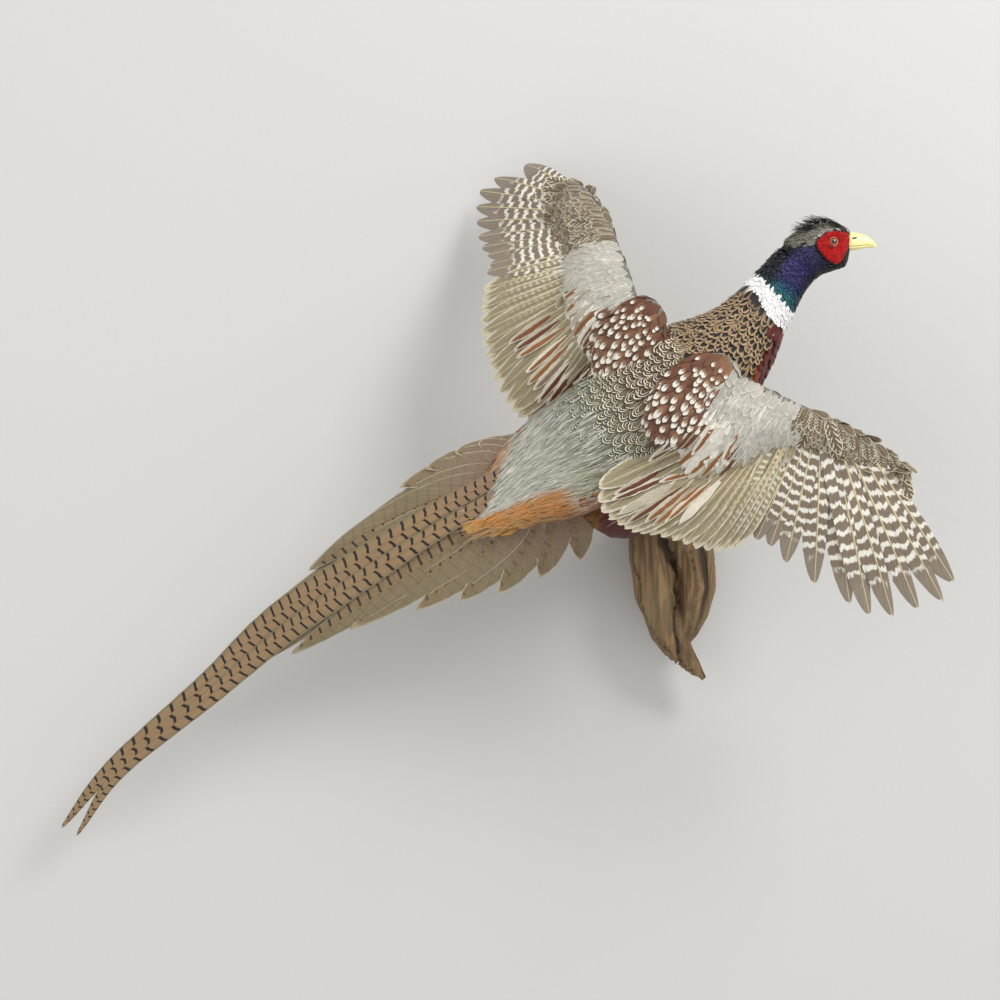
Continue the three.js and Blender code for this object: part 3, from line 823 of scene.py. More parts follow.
    def tail(self) -> Value:
        """Narrow dark bars square to the shaft; the outer web is plain where "outer" says so.

        Returns:
            The colour.
        """
        number = self.sheet.number
        outer = (self.across * number("outer")).step(0.0, 0.10)
        phase = number("reach") * 79.0 + self.wobble * 0.2 + self.across.maths("SIGN") * 0.14
        bar = (self.away * 0.25 + phase).maths("FRACT").band(0.38, 0.60, 0.04) * self.away.step(0.95, 0.84)
        bar = bar * (outer * 0.8).rest() * number("barring")
        grain = self.sheet.vector(self.across * 9.0, self.along * 190.0, self.chance)
        speck = self.sheet.noise(grain, 1.0, 3.0).step(0.50, 0.60) * number("specks") * (outer * 0.6).rest()
        plain = (self.wobble * 0.2 + self.away).step(0.56, 0.84).most(outer * 0.8)
        base = number("reach").step(0.10, 0.02) * 0.5
        ground = base.mix(plain.mix(self.ground, self.fringe), Colour.MAUVE)
        ground = bar.most(speck * 0.75).mix(ground, self.mark)
        return (self.rim.step(0.93, 0.985) * number("edging")).mix(ground, Colour.EDGE)


@dataclass(frozen=True)
class Plumage:
    """A finish for feathers: their marking, gloss and how their barbs catch the light."""

    name: str
    mark: Mark = Mark.PLAIN
    tip: float = 0.5
    rough: float = 0.62
    metal: float = 0.0
    sheen: float = 0.04
    barbs: float = 60.0
    relief: float = 0.25

    def made(self) -> bpy.types.Material:
        """The material, with its marking drawn in the feather's own map.

        Returns:
            The material.
        """
        sheet = Sheet(self.name)
        brush = Brush(sheet, self.tip)
        shade = getattr(brush, self.mark.value)()
        line = brush.along * self.barbs - brush.away * (self.barbs * 0.22)
        streak = sheet.noise(sheet.vector(line, brush.away, brush.chance), 1.2, 1.0)
        dim = streak.step(0.25, 0.75).mix((0.72, 0.72, 0.72), (1.16, 1.16, 1.16))
        shade = sheet.number("shaft").mix(sheet.blend(1.0, shade, dim, "MULTIPLY"), sheet.colour("quill"))
        sheet.bump((line * math.tau).maths("SINE"), self.relief, 0.00015)
        return sheet.set(Base_Color=shade, Roughness=self.rough, Metallic=self.metal,
                         Sheen_Weight=self.sheen, Sheen_Roughness=0.5)


# ------------------------------------------------------------------ feathers


@dataclass(frozen=True)
class Vane:
    """The form of one kind of feather, as shares of its own length and half width."""

    rows: int = 6
    columns: int = 4
    tip: float = 0.5
    point: float = 0.5
    base: float = 0.4
    spread: float = 0.4
    camber: float = 0.22
    fray: float = 0.05
    thick: float = 0.00025

    def spots(self) -> Array:
        """How far along the feather each row of points lies, closer towards the tip."""
        return 1 - (1 - np.linspace(0, 1, self.rows + 1)) ** 1.5

    def half_width(self, v: Array) -> Array:
        """The half width at each place along the feather.

        Args:
            v: how far along the places lie.

        Returns:
            The half widths.
        """
        widen = self.base + (1 - self.base) * eased(v, 0, self.spread)
        rise = np.clip((v - (1 - self.tip)) / self.tip, 0, 1) * 0.985
        return widen * (1 - rise**2) ** self.point

    def faces(self) -> Array:
        """The triangles of one closed feather: its ribbed top and a keeled underside.

        Returns:
            The points of each triangle.
        """
        wide = self.columns + 1
        at = lambda row, column: row * wide + column
        keel_start = (self.rows + 1) * wide
        middle = self.columns // 2
        keel = lambda row: at(row, middle) if row in (0, self.rows) else keel_start + row - 1
        found: list[tuple[int, int, int]] = []
        for row in range(self.rows):
            for column in range(self.columns):
                a, b = at(row, column), at(row, column + 1)
                c, d = at(row + 1, column + 1), at(row + 1, column)
                found += [(a, b, c), (a, c, d)]
            left, left_up = at(row, 0), at(row + 1, 0)
            right, right_up = at(row, self.columns), at(row + 1, self.columns)
            low, high = keel(row), keel(row + 1)
            found += [(left, left_up, high), (left, high, low), (low, high, right_up), (low, right_up, right)]
        last = self.columns
        for k in range(1, middle):
            found += [(at(0, 0), at(0, k + 1), at(0, k)), (at(0, last), at(0, last - k), at(0, last - k - 1))]
            found += [(at(self.rows, 0), at(self.rows, k), at(self.rows, k + 1)),
                      (at(self.rows, last), at(self.rows, last - k - 1), at(self.rows, last - k))]
        return np.array(found)


@dataclass
class Plumes:
    """Where feathers of one kind grow, how they lie and what they carry, one row for each."""

    path: Array
    out: Array
    half: Array
    ground: Array
    mark: Array
    fringe: Array
    place: Array
    webs: Array | None = None
    tilt: Array | None = None
    extra: dict[str, Array] = field(default_factory=dict)

    def __len__(self) -> int:
        """How many feathers there are."""
        return len(self.path)

    def rows(self) -> tuple[Array, ...]:
        """The rows that every set of feathers has."""
        return self.path, self.out, self.half, self.ground, self.mark, self.fringe, self.place

    def chosen(self, keep: Array) -> Plumes:
        """Those of the feathers that the mask keeps."""
        return Plumes(*(rows[keep] for rows in self.rows()))

    @staticmethod
    def joined(parts: Sequence[Plumes]) -> Plumes:
        """Several sets of feathers as one."""
        return Plumes(*(np.concatenate(rows) for rows in zip(*(part.rows() for part in parts))))


def columns(count: int) -> Array:
    """The left feet of equal columns on the bake map, one for each long feather."""
    return np.stack([np.arange(count) / count, np.zeros(count)], -1)


@dataclass(frozen=True)
class Quill:
    """The shaft of a large feather."""

    root: float = 0.0011
    tip: float = 0.0003
    colour: Colour = Colour.SHAFT


@dataclass
class FeatherMaker:
    """Turns sets of feathers into pieces."""

    seed: int = 7

    def piece(self, name: str, vane: Vane, plumes: Plumes, finish: Plumage, slot: str,
              quill: Quill | None = None, patch: float | None = None) -> bpy.types.Object:
        """Builds one piece out of a set of feathers.

        Args:
            name: the piece's name.
            vane: the form that the feathers share.
            plumes: where they grow and what they carry.
            finish: their material.
            slot: the record's slot for the piece; not used.
            quill: the shaft, for large feathers.
            patch: the share of the bake map that each feather gets, or None to fit their number.

        Returns:
            The piece, which rides on the body.
        """
        count, v = len(plumes), vane.spots()
        rng = np.random.default_rng(self.seed + count)
        u = np.linspace(-1, 1, vane.columns + 1)
        ahead = unit(np.gradient(plumes.path, axis=1))
        out = unit(plumes.out - ahead * (plumes.out * ahead).sum(-1, keepdims=True))
        side = np.cross(ahead, out)
        if plumes.tilt is not None:
            turn = plumes.tilt[:, None, None]
            side, out = side * np.cos(turn) + out * np.sin(turn), out * np.cos(turn) - side * np.sin(turn)
        webs = plumes.webs if plumes.webs is not None else np.ones((count, 2))
        web = np.where(u[None, :] < 0, webs[:, :1], webs[:, 1:])
        half = plumes.half[:, None] * vane.half_width(v)[None, :]
        reach = half[:, :, None] * (u[None, :] * web)[:, None, :]
        reach = reach * (1 + vane.fray * rng.standard_normal((count, len(v), len(u))) * np.abs(u) ** 3)
        drop = -vane.camber * half[:, :, None] * (u**2)[None, None, :] * web[:, None, :]
        top = (plumes.path[:, :, None, :] + side[:, :, None, :] * reach[..., None]
               + out[:, :, None, :] * drop[..., None])
        length = np.linalg.norm(plumes.path[:, -1] - plumes.path[:, 0], axis=-1)
        pull = rng.standard_normal((count, len(u))) * vane.fray * 0.5 * length[:, None]
        top[:, -1] += ahead[:, -1, None, :] * (pull - 0.04 * length[:, None] * u[None, :] ** 2)[..., None]
        keel = plumes.path[:, 1:-1] - out[:, 1:-1] * vane.thick
        points = np.concatenate([top.reshape(count, -1, 3), keel], axis=1)
        grid = np.stack(np.meshgrid(v, u * 0.5 + 0.5, indexing="ij")[::-1], -1).reshape(-1, 2)
        local = np.concatenate([grid, np.stack([np.full(len(v) - 2, 0.5), v[1:-1]], -1)])
        faces = vane.faces()
        shaft = np.zeros(len(local))
        if quill is not None:
            extra_points, extra_faces, extra_local = self.shafts(plumes, out, side, v, quill, points.shape[1])
            points = np.concatenate([points, extra_points], axis=1)
            faces = np.concatenate([faces, extra_faces])
            local = np.concatenate([local, extra_local])
            shaft = np.concatenate([shaft, np.ones(len(extra_local))])
        each = points.shape[1]
        triangles = (faces[None] + (np.arange(count) * each)[:, None, None]).reshape(-1, 3)
        item = new_mesh(name, points.reshape(-1, 3), triangles)
        lay_map(item, "Vane", np.tile(local, (count, 1)))
        if patch:
            spread = plumes.place[:, None, :] + local[None] * (patch, 1.0)
        else:
            size = max(0.003, 0.55 / math.sqrt(count))
            spread = plumes.place[:, None, :] * (1 - size) + local[None] * size
        lay_map(item, "OFBake", spread.reshape(-1, 2))
        for key in ("ground", "mark", "fringe"):
            paint(item, key, np.repeat(getattr(plumes, key), each, axis=0))
        paint(item, "quill", colours((quill or Quill()).colour, count * each))
        for key, values in {"chance": rng.random(count), **plumes.extra}.items():
            note(item, key, np.repeat(values, each))
        note(item, "shaft", np.tile(shaft, count))
        note(item, "reach", np.repeat(length, each) * np.tile(local[:, 1], count))
        item.data.materials.append(finish.made())
        item.data.set_sharp_from_angle(angle=math.radians(50))
        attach(item, BODY)
        LOG.info("%s: %d feathers, %d triangles", name, count, len(triangles))
        return item

    def shafts(self, plumes: Plumes, out: Array, side: Array, v: Array, quill: Quill,
               start: int) -> tuple[Array, Array, Array]:
        """The tapered four-sided shafts of large feathers.

        Args:
            plumes: the feathers.
            out: their unit vectors away from the skin.
            side: their unit vectors across.
            v: how far along each row lies.
            quill: the shaft's size.
            start: the number of points that each feather already has.

        Returns:
            The points, the triangles and the places in the feather's map, for each feather alike.
        """
        radius = (quill.root + (quill.tip - quill.root) * v)[None, :, None]
        ring = [out * radius * 0.9, side * radius, -out * radius * 0.9, -side * radius]
        points = np.stack([plumes.path + offset for offset in ring], axis=2)
        faces = []
        for row in range(len(v) - 1):
            for k in range(4):
                a, b = start + row * 4 + k, start + row * 4 + (k + 1) % 4
                faces += [(a, b, a + 4), (b, b + 4, a + 4)]
        last = start + (len(v) - 1) * 4
        faces += [(start, start + 2, start + 1), (start, start + 3, start + 2)]
        faces += [(last, last + 1, last + 2), (last, last + 2, last + 3)]
        local = np.repeat(np.stack([np.full(len(v), 0.5), v], -1), 4, axis=0)
        return points.reshape(len(plumes), -1, 3), np.array(faces), local


# ------------------------------------------------------------------ the body


@dataclass
class Spine:
    """The body's middle line, with its frame and reach at each distance from the tail's root."""

    stations: tuple[Girth, ...] = SPINE
    steps: int = 240

    def __post_init__(self) -> None:
        """Samples the line finely."""
        knots = np.array([g.at for g in self.stations])
        share = np.linspace(0, 1, self.steps)
        self.middle = curve(knots, share)
        gaps = np.linalg.norm(np.diff(self.middle, axis=0), axis=1)
        self.run = np.concatenate([[0], np.cumsum(gaps)])
        self.length = float(self.run[-1])
        pick = lambda key: curve([getattr(g, key) for g in self.stations], share)
        self.half, self.back, self.belly = pick("half"), pick("back"), pick("belly")
        roll = np.radians(pick("roll"))[:, None]
        self.ahead = unit(np.gradient(self.middle, axis=0))
        facing = unit(VIEWER - self.ahead * (self.ahead @ VIEWER)[:, None])
        beside = np.cross(self.ahead, facing)
        self.right = np.cos(roll) * beside + np.sin(roll) * facing
        self.up = np.cos(roll) * facing - np.sin(roll) * beside

    def at(self, run: Array, values: Array) -> Array:
        """Values of the line at distances along it.

        Args:
            run: the distances.
            values: the line's values, one for each of its samples.

        Returns:
            The values there.
        """
        spot = np.interp(run, self.run, np.arange(self.steps))
        low = np.clip(spot.astype(int), 0, self.steps - 2)
        part = spot - low
        if values.ndim > 1:
            part = part[..., None]
        return values[low] * (1 - part) + values[low + 1] * part

    def locate(self, points: Array) -> tuple[Array, Array]:
        """Each point's distance along the line and its angle from the back, right side positive.

        Args:
            points: rows of points.

        Returns:
            The distances and the angles in radians.
        """
        nearest = np.concatenate([
            np.argmin(((block[:, None] - self.middle[None]) ** 2).sum(-1), axis=1)
            for block in np.array_split(points, max(1, len(points) // 2000))
        ])
        off = points - self.middle[nearest]
        angle = np.arctan2((off * self.right[nearest]).sum(-1), (off * self.up[nearest]).sum(-1))
        along = (off * self.ahead[nearest]).sum(-1)
        return self.run[nearest] + along, angle


@dataclass(frozen=True)
class Bands:
    """Where the body's colours change, in metres from the tail's root."""

    rump: float = 0.150
    scallop: float = 0.215
    mantle: float = 0.290
    collar_low: float = 0.357
    collar_high: float = 0.376
    collar_lean: float = 0.005
    purple: float = 0.412
    head: float = 0.418

    def collar(self, run: Array, angle: Array) -> Array:
        """Where a place lies across the collar: 0 at its lower edge and 1 at its upper.

        Args:
            run: distances along the spine.
            angle: angles from the back.

        Returns:
            The places across the collar.
        """
        lean = self.collar_lean * np.cos(angle)
        nape = 0.34 * eased(np.cos(angle), 0.1, 1.0)
        return ((run - lean - self.collar_low) / (self.collar_high - self.collar_low) - nape) / (1 - nape)


@dataclass
class Plumages:
    """The bird's colours by place, which the skin and its feathers share."""

    spine: Spine
    bands: Bands = Bands()

    def neck(self, run: Array, angle: Array) -> Array:
        """The neck's gloss: teal by the collar, blue and purple above, with painted sheen that shows it only
        on the neck's sides, leaving the nape and throat near black.

        Args:
            run: distances along the spine.
            angle: angles from the back.

        Returns:
            The colours.
        """
        side = np.abs(angle)
        rise = eased(run, self.bands.collar_high, self.bands.purple)
        gloss = mixed(Colour.TEAL, Colour.BLUE, eased(rise, 0.0, 0.6))
        gloss = mixed(gloss, Colour.PURPLE, eased(rise, 0.50, 0.95))
        upper = eased(run, self.bands.head - 0.004, self.bands.head + 0.016)
        gloss = mixed(gloss, Colour.NAPE, upper * 0.55)
        # painted sheen: the gloss is bright on the neck's sides and fades to near black towards the nape and
        # throat
        painted_sheen = eased(side, 0.75, 1.25) * (1 - eased(side, 2.2, 2.9))
        green = ((1 - eased(run, self.bands.collar_high, self.bands.collar_high + 0.014))
                 * (1 - eased(side, 0.9, 1.4)))
        shade = mixed(mixed(Colour.NAPE, gloss, 0.12 + 0.88 * painted_sheen), Colour.TEAL, 0.5 * green)
        ring = self.bands.collar(run, angle)
        white = eased(ring, -0.12, 0.08) * (1 - eased(ring, 0.92, 1.12))
        return mixed(shade, Colour.COLLAR, white)

    def head(self, run: Array, angle: Array) -> Array:
        """The head: a grey-green crown over a black-green face.

        Args:
            run: distances along the spine.
            angle: angles from the back.

        Returns:
            The colours.
        """
        side = np.abs(angle)
        crown = (1 - eased(side, 0.85, 1.15)) * eased(run, self.bands.head - 0.010, self.bands.head + 0.002)
        crown = crown * (1 - eased(run, 0.449, 0.456))
        return mixed(self.neck(run, angle), Colour.CROWN, crown)

    def trunk(self, run: Array, angle: Array) -> Array:
        """The ground colour of the trunk, from the rump to the collar.

        Args:
            run: distances along the spine.
            angle: angles from the back.

        Returns:
            The colours.
        """
        side = np.abs(angle)
        bands = self.bands
        shade = mixed(Colour.RUMP, Colour.SAGE, eased(run, bands.rump - 0.03, bands.rump + 0.03))
        moss = np.exp(-(((run - 0.150) / 0.022) ** 2)) * np.exp(-(((angle - 0.75) / 0.5) ** 2))
        shade = mixed(shade, Colour.MOSS, 0.6 * moss)
        shade = mixed(shade, Colour.BACK, eased(run, bands.scallop - 0.03, bands.scallop + 0.02))
        shade = mixed(shade, Colour.BUFF, eased(run, bands.mantle - 0.03, bands.mantle + 0.01))
        edge = 1.62 + 0.25 * eased(run, 0.26, 0.35)
        chest = eased(side, edge - 0.12, edge + 0.05) * eased(run, 0.19, 0.23)
        flank = eased(side, 1.5, 1.8) * (1 - eased(run, 0.19, 0.23))
        shade = mixed(shade, mixed(Colour.TAWNY, Colour.AMBER, eased(run, 0.05, 0.12)), flank)
        belly = eased(side, 2.35, 2.75) * (1 - eased(run, 0.17, 0.24))
        shade = mixed(shade, Colour.BELLY, belly)
        return mixed(shade, Colour.BREAST, chest)

    def body(self, points: Array) -> Array:
        """The colour at any place on the body, neck or head.

        Args:
            points: the places.

        Returns:
            The colours.
        """
        run, angle = self.spine.locate(points)
        low = self.trunk(run, angle)
        high = np.where((run > self.bands.head - 0.012)[:, None],
                        self.head(run, angle), self.neck(run, angle))
        ring = self.bands.collar(run, angle)
        return np.where((ring > -0.1)[:, None], high, low)


@dataclass
class Skin:
    """One skin for all the flesh, inside the solids by the coat's depth."""

    frame: dict
    spine: Spine
    plumages: Plumages
    voxel: float = 0.0024
    body_depth: float = 0.0042
    neck_depth: float = 0.0026
    head_depth: float = 0.0010
    wing_depth: float = 0.0012
    thigh_depth: float = 0.0030

    TRUNK = ("rump", "trunk", "neck", "head")
    WINGS = tuple(f"wing_{s.value}_{p}" for s in Side for p in ("arm", "hand", "scapulars"))
    THIGHS = tuple(f"thigh_{s.value}" for s in Side)

    def build(self) -> bpy.types.Object:
        """Joins the flesh, sinks it by the coat's depth and colours it, darkened as painted shade between the
        feathers.

        Returns:
            The skin, which replaces the nodes of flesh.
        """
        nodes = self.TRUNK + self.WINGS + self.THIGHS
        skin = merged_copy("skin", nodes, self.frame)
        applied(skin, "REMESH", mode="VOXEL", voxel_size=self.voxel, use_smooth_shade=True)
        applied(skin, "SMOOTH", factor=0.5, iterations=5)
        points, lean = coordinates(skin), normals(skin)
        run, _ = self.spine.locate(points)
        depth = np.interp(run, [0.33, 0.37, 0.41, 0.43],
                          [self.body_depth, self.neck_depth, self.neck_depth, self.head_depth])
        self.home = home = self.nearest_group(points)
        depth = np.where(home == Part.WING, self.wing_depth,
                         np.where(home == Part.THIGH, self.thigh_depth, depth))
        move_to(skin, points - lean * depth[:, None])
        applied(skin, "SMOOTH", factor=0.5, iterations=4)
        shade = self.plumages.body(coordinates(skin))
        shade = mixed(mixed(shade, Colour.COVERT, home == Part.WING), Colour.TAWNY, home == Part.THIGH)
        # painted shade: the skin takes the body's colours darkened to 0.55, and to 0.80 on the wings, for the
        # shade between the feathers
        paint(skin, "ground", shade * np.where(home == Part.WING, 0.80, 0.55)[:, None])
        skin.data.materials.append(self.finish())
        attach(skin, BODY)
        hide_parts(*nodes)
        self.item = skin
        return skin

    @cached_property
    def trees(self) -> list[BVHTree]:
        """The search trees of the trunk's, the wings' and the thighs' solids."""
        return [tree_of(*(self.frame["nodes"][n] for n in group))
                for group in (self.TRUNK, self.WINGS, self.THIGHS)]

    def nearest_group(self, points: Array) -> Array:
        """Which part's solids each point is nearest: the trunk's, a wing's or a thigh's."""
        far = np.array([[tree.find_nearest(Vector(p))[3] for tree in self.trees] for p in points])
        return np.argmin(far, axis=1)

    def finish(self) -> bpy.types.Material:
        """Dull down between the feathers, flecked near black as painted shade.

        Returns:
            The material.
        """
        sheet = Sheet("skin_down")
        speck = sheet.noise(sheet.place(), 900.0, 3.0)
        sheet.bump(speck, 0.5, 0.0006)
        # painted shade: near black flecks darken the skin between the feathers
        return sheet.set(Base_Color=speck.step(0.2, 0.8).mix((0.03,) * 3, sheet.colour("ground")),
                         Roughness=0.9)


@dataclass
class Ground:
    """A surface that feathers lie on, with the points and normals nearest to any place."""

    tree: BVHTree
    reach: float = 0.006

    def follow(self, roots: Array, ahead: Array, length: Array, v: Array, rise: Array,
               normal: Array) -> tuple[Array, Array]:
        """Lays straight shafts over the surface.

        Args:
            roots: where each feather starts.
            ahead: the way each one points.
            length: each one's length.
            v: how far along each row of points lies.
            rise: the height over the surface at each row, for each feather.
            normal: the surface's normal at each root.

        Returns:
            The shafts' points and the unit vectors away from the surface.
        """
        count = len(roots)
        path = np.zeros((count, len(v), 3))
        out = np.zeros((count, len(v), 3))
        for i in range(count):
            last_point, last_normal = roots[i], normal[i]
            aim = ahead[i] - last_normal * (ahead[i] @ last_normal)
            aim = aim / max(np.linalg.norm(aim), 1e-9)
            step = np.diff(v, prepend=0.0) * length[i]
            for k in range(len(v)):
                spot = last_point + aim * step[k]
                found, lean, _, far = self.tree.find_nearest(Vector(spot))
                if found is not None and far < self.reach:
                    lean = np.array(lean)
                    if lean @ last_normal > 0.2:
                        spot = np.array(found)
                        last_normal = lean * 0.6 + last_normal * 0.4
                        last_normal /= np.linalg.norm(last_normal)
                        aim = aim - last_normal * (aim @ last_normal)
                        aim /= max(np.linalg.norm(aim), 1e-9)
                last_point = spot
                path[i, k] = spot + last_normal * rise[i, k]
                out[i, k] = last_normal
        return path, out


@dataclass(frozen=True)
class Patch:
    """A stretch of the body's coat: its feathers' kind, size and spacing, in metres and radians.

    It runs from start to stop along the spine and from low to high round it, counted from the back.
    """

    name: str
    slot: str
    finish: Plumage
    start: float
    stop: float
    low: float
    high: float
    row: float
    gap: float
    length: float
    half: float
    lift: float
    vane: Vane = Vane()
    turn: float = 0.0
    stray: float = 0.07


@dataclass
class Coat:
    """Grows the body's small feathers in rows from the head back to the tail."""

    skin: Skin
    spine: Spine
    plumages: Plumages
    maker: FeatherMaker
    seed: int = 11
    apart: float = 0.012
    turned_away: float = -0.3
    tail_edge: float = -0.135
    head_edge: tuple[float, float] = (0.121, 0.27)
    sown: list[tuple[Array, Array, Array, Array, Array]] = field(default_factory=list)

    def sow(self, roots: Array, ways: Array, ground: Array, fringe: Array, part: Part = Part.WING) -> None:
        """Notes where feathers grow, on the body, a wing or its lining, for those in the gaps to copy.

        Args:
            roots: where they grow.
            ways: the way each one points.
            ground: their ground colours.
            fringe: their fringes.
            part: what they grow on.
        """
        found = [self.tree.find_nearest(Vector(root)) for root in roots]
        roots, leans = np.array([place[0] for place in found]), np.array([place[1] for place in found])
        self.sown.append((roots + leans * self.apart, ways, ground, fringe, np.full(len(roots), part)))

    def roots(self, patch: Patch, keep: Keep | None = None) -> tuple[Array, Array, Array, Array]:
        """Finds where a patch's feathers grow.

        Args:
            patch: the stretch of coat.
            keep: which of the places to keep, from their distances, angles and points.

        Returns:
            The roots, their normals, distances along the spine and angles.
        """
        rng = np.random.default_rng(self.seed + int(patch.start * 1e4) + len(patch.name))
        found = []
        for row, run in enumerate(np.arange(patch.start, patch.stop, patch.row)):
            ring = [float(self.spine.at(np.array(run), v)) for v in
                    (self.spine.half, self.spine.back, self.spine.belly)]
            girth = math.tau * float(np.mean(ring))
            count = max(3, round(girth * (patch.high - patch.low) / math.tau / patch.gap))
            angles = patch.low + ((np.arange(count) + 0.5 * (row % 2) + 0.25) / count
                                  * (patch.high - patch.low))
            for angle in angles + rng.normal(0, 0.22 * patch.gap / max(ring[0], 0.005), count):
                found.append((run + rng.normal(0, 0.25 * patch.row), angle))
        run, angle = np.array(found).T
        middle, up, right = (self.spine.at(run, v) for v in
                             (self.spine.middle, self.spine.up, self.spine.right))
        aim = up * np.cos(angle)[:, None] + right * np.sin(angle)[:, None]
        reach = np.hypot(self.spine.at(run, self.spine.half) * np.sin(angle),
                         np.where(np.cos(angle) > 0, self.spine.at(run, self.spine.back),
                                  self.spine.at(run, self.spine.belly)) * np.cos(angle))
        points, leans = cast(self.tree, middle, aim)
        near = np.linalg.norm(points - middle, axis=1) <= 1.25 * reach + 0.003
        found = [rows[near] for rows in (points, leans, run, angle)]
        mask = self.skin.nearest_group(found[0]) != Part.WING
        if keep is not None:
            mask &= keep(found[2], found[3], found[0])
        return tuple(rows[mask] for rows in found)

    @cached_property
    def tree(self) -> BVHTree:
        """The search tree of the skin."""
        return tree_of(self.skin.item)

    def grown(self, patch: Patch, shades: Shades, keep: Keep | None = None) -> Plumes:
        """Places one patch's feathers.

        Args:
            patch: the stretch of coat.
            shades: the ground, mark and fringe colours from distances and angles.
            keep: which of the places to keep.

        Returns:
            The feathers.
        """
        rng = np.random.default_rng(self.seed + len(patch.name))
        roots, leans, run, angle = self.roots(patch, keep)
        count = len(roots)
        back = -self.spine.at(run, self.spine.ahead)
        around = np.cross(back, leans)
        ahead = unit(back + around * (patch.turn * np.sin(angle)
                                      + rng.normal(0, patch.stray, count))[:, None])
        length = patch.length * rng.uniform(0.85, 1.15, count)
        v = patch.vane.spots()
        rise = raised(patch.lift, 0.15, v, rng.uniform(0.8, 1.15, (count, 1)))
        path, out = Ground(self.tree).follow(roots, ahead, length, v, rise, leans)
        ground, mark, fringe = shades(run, angle)
        dim = rng.uniform(0.88, 1.1, (count, 1))
        self.sow(roots, ahead, ground, fringe, Part.TRUNK)
        place = np.stack([(run - run.min()) / max(np.ptp(run), 1e-6),
                          (angle - angle.min()) / max(np.ptp(angle), 1e-6)], -1)
        half = patch.half * rng.uniform(0.92, 1.08, count)
        return Plumes(path, out, half, ground * dim, mark, fringe * dim, place)

    @staticmethod
    def neighbours(roots: Array, part: Array) -> list[KDTree]:
        """Makes search trees of the feathers that are sown already.

        Args:
            roots: where they grow.
            part: what each one grows on.

        Returns:
            The trees for the trunk, for the wings' backs and for all of the wings.
        """
        trees = []
        for kind in (part == Part.TRUNK, part == Part.WING, part != Part.TRUNK):
            tree = KDTree(int(kind.sum()))
            for index in np.flatnonzero(kind):
                tree.insert(roots[index], int(index))
            tree.balance()
            trees.append(tree)
        return trees

    def fill(self, pitch: float = 0.0038) -> None:
        """Covers skin that is still bare with feathers like their nearest neighbours.

        Args:
            pitch: how far from every other root a place has to be.
        """
        rng = np.random.default_rng(self.seed)
        roots, ways, ground, fringe, part = (np.concatenate(rows) for rows in zip(*self.sown))
        trees = self.neighbours(roots, part)
        points, leans = coordinates(self.skin.item), normals(self.skin.item)
        facing = leans @ VIEWER >= self.turned_away
        head = (points[:, 0] > self.head_edge[0]) & (points[:, 2] > self.head_edge[1])
        free = ~head & (points[:, 0] >= self.tail_edge)
        taken: dict[tuple[int, ...], list[Array]] = {}
        picks, like = [], []
        for index in rng.permutation(len(points)):
            spot, wing = points[index], self.skin.home[index] == Part.WING
            near = trees[(1 if facing[index] else 2) if wing else 0]
            _, other, far = near.find(Vector(spot + leans[index] * self.apart))
            if far < pitch or not free[index]:
                continue
            cell = np.floor(spot / pitch).astype(int)
            beside = [q for step in np.ndindex(3, 3, 3) for q in taken.get(tuple(cell + step - 1), ())]
            if any(((q - spot) ** 2).sum() < pitch**2 for q in beside):
                continue
            taken.setdefault(tuple(cell), []).append(spot)
            picks.append(index)
            like.append(other)
        count, picks, like = len(picks), np.array(picks), np.array(like)
        vane = Vane(rows=6, tip=0.6, point=0.6, fray=0.08)
        v = vane.spots()
        length = rng.uniform(0.016, 0.021, count)
        rise = raised(0.0022, 0.1, v, rng.uniform(0.85, 1.15, (count, 1)))
        path, out = Ground(self.tree).follow(points[picks], ways[like], length, v, rise, leans[picks])
        good = facing[picks] | covered(self.tree, path, VIEWER)
        path, out, picks, like = path[good], out[good], picks[good], like[good]
        count = len(path)
        dim = rng.uniform(0.88, 1.08, (count, 1))
        thigh = (self.skin.home[picks] == Part.THIGH)[:, None]
        # the thighs turn from tawny to maroon further forward, the maroon darkened further by painted shade
        warm = mixed(Colour.THIGH, Colour.THIGH_DARK, eased(points[picks, 0], -0.064, -0.046))
        shade = np.where(thigh, warm, ground[like]) * dim
        edge = np.where(thigh, shade, fringe[like])
        place = ((points[picks] - points.min(0)) / np.ptp(points, axis=0))[:, [0, 2]]
        plumes = Plumes(path, out, np.full(count, 0.0044), shade,
                        mixed(shade, edge, 0.4), mixed(shade, edge, 0.5), place)
        wings = self.skin.home[picks] == Part.WING
        self.maker.piece("coat_between", vane, plumes.chosen(~wings),
                         Plumage("coat_between"), "barred_plumage")
        self.maker.piece("coat_between_wings", vane, plumes.chosen(wings),
                         Plumage("wings_between"), "wing_coverts")

    def build(self) -> None:
        """Grows every patch of the body and neck."""
        self.mantle()
        self.back()
        self.breast()
        self.neck()
        self.rump()
        self.flanks()

    def grow(self, patch: Patch, shades: Shades, keep: Keep | None = None) -> None:
        """Makes one patch's piece."""
        self.maker.piece(patch.name, patch.vane, self.grown(patch, shades, keep), patch.finish, patch.slot)

    def mantle(self) -> None:
        """Buff scales with dark hearts between the shoulders and the collar."""
        patch = Patch("coat_mantle", "barred_plumage", Plumage("mantle_scale", Mark.SCALE), start=0.282,
                      stop=0.362, low=-1.95, high=1.95, row=0.0040, gap=0.0060, length=0.0140, half=0.0042,
                      lift=0.0040, vane=Vane(tip=0.5), stray=0.14)
        ring = lambda run, angle, points: (self.plumages.bands.collar(run, angle) < 0.05) & (
            np.abs(angle) < 1.75 + 0.2 * eased(run, 0.30, 0.35))

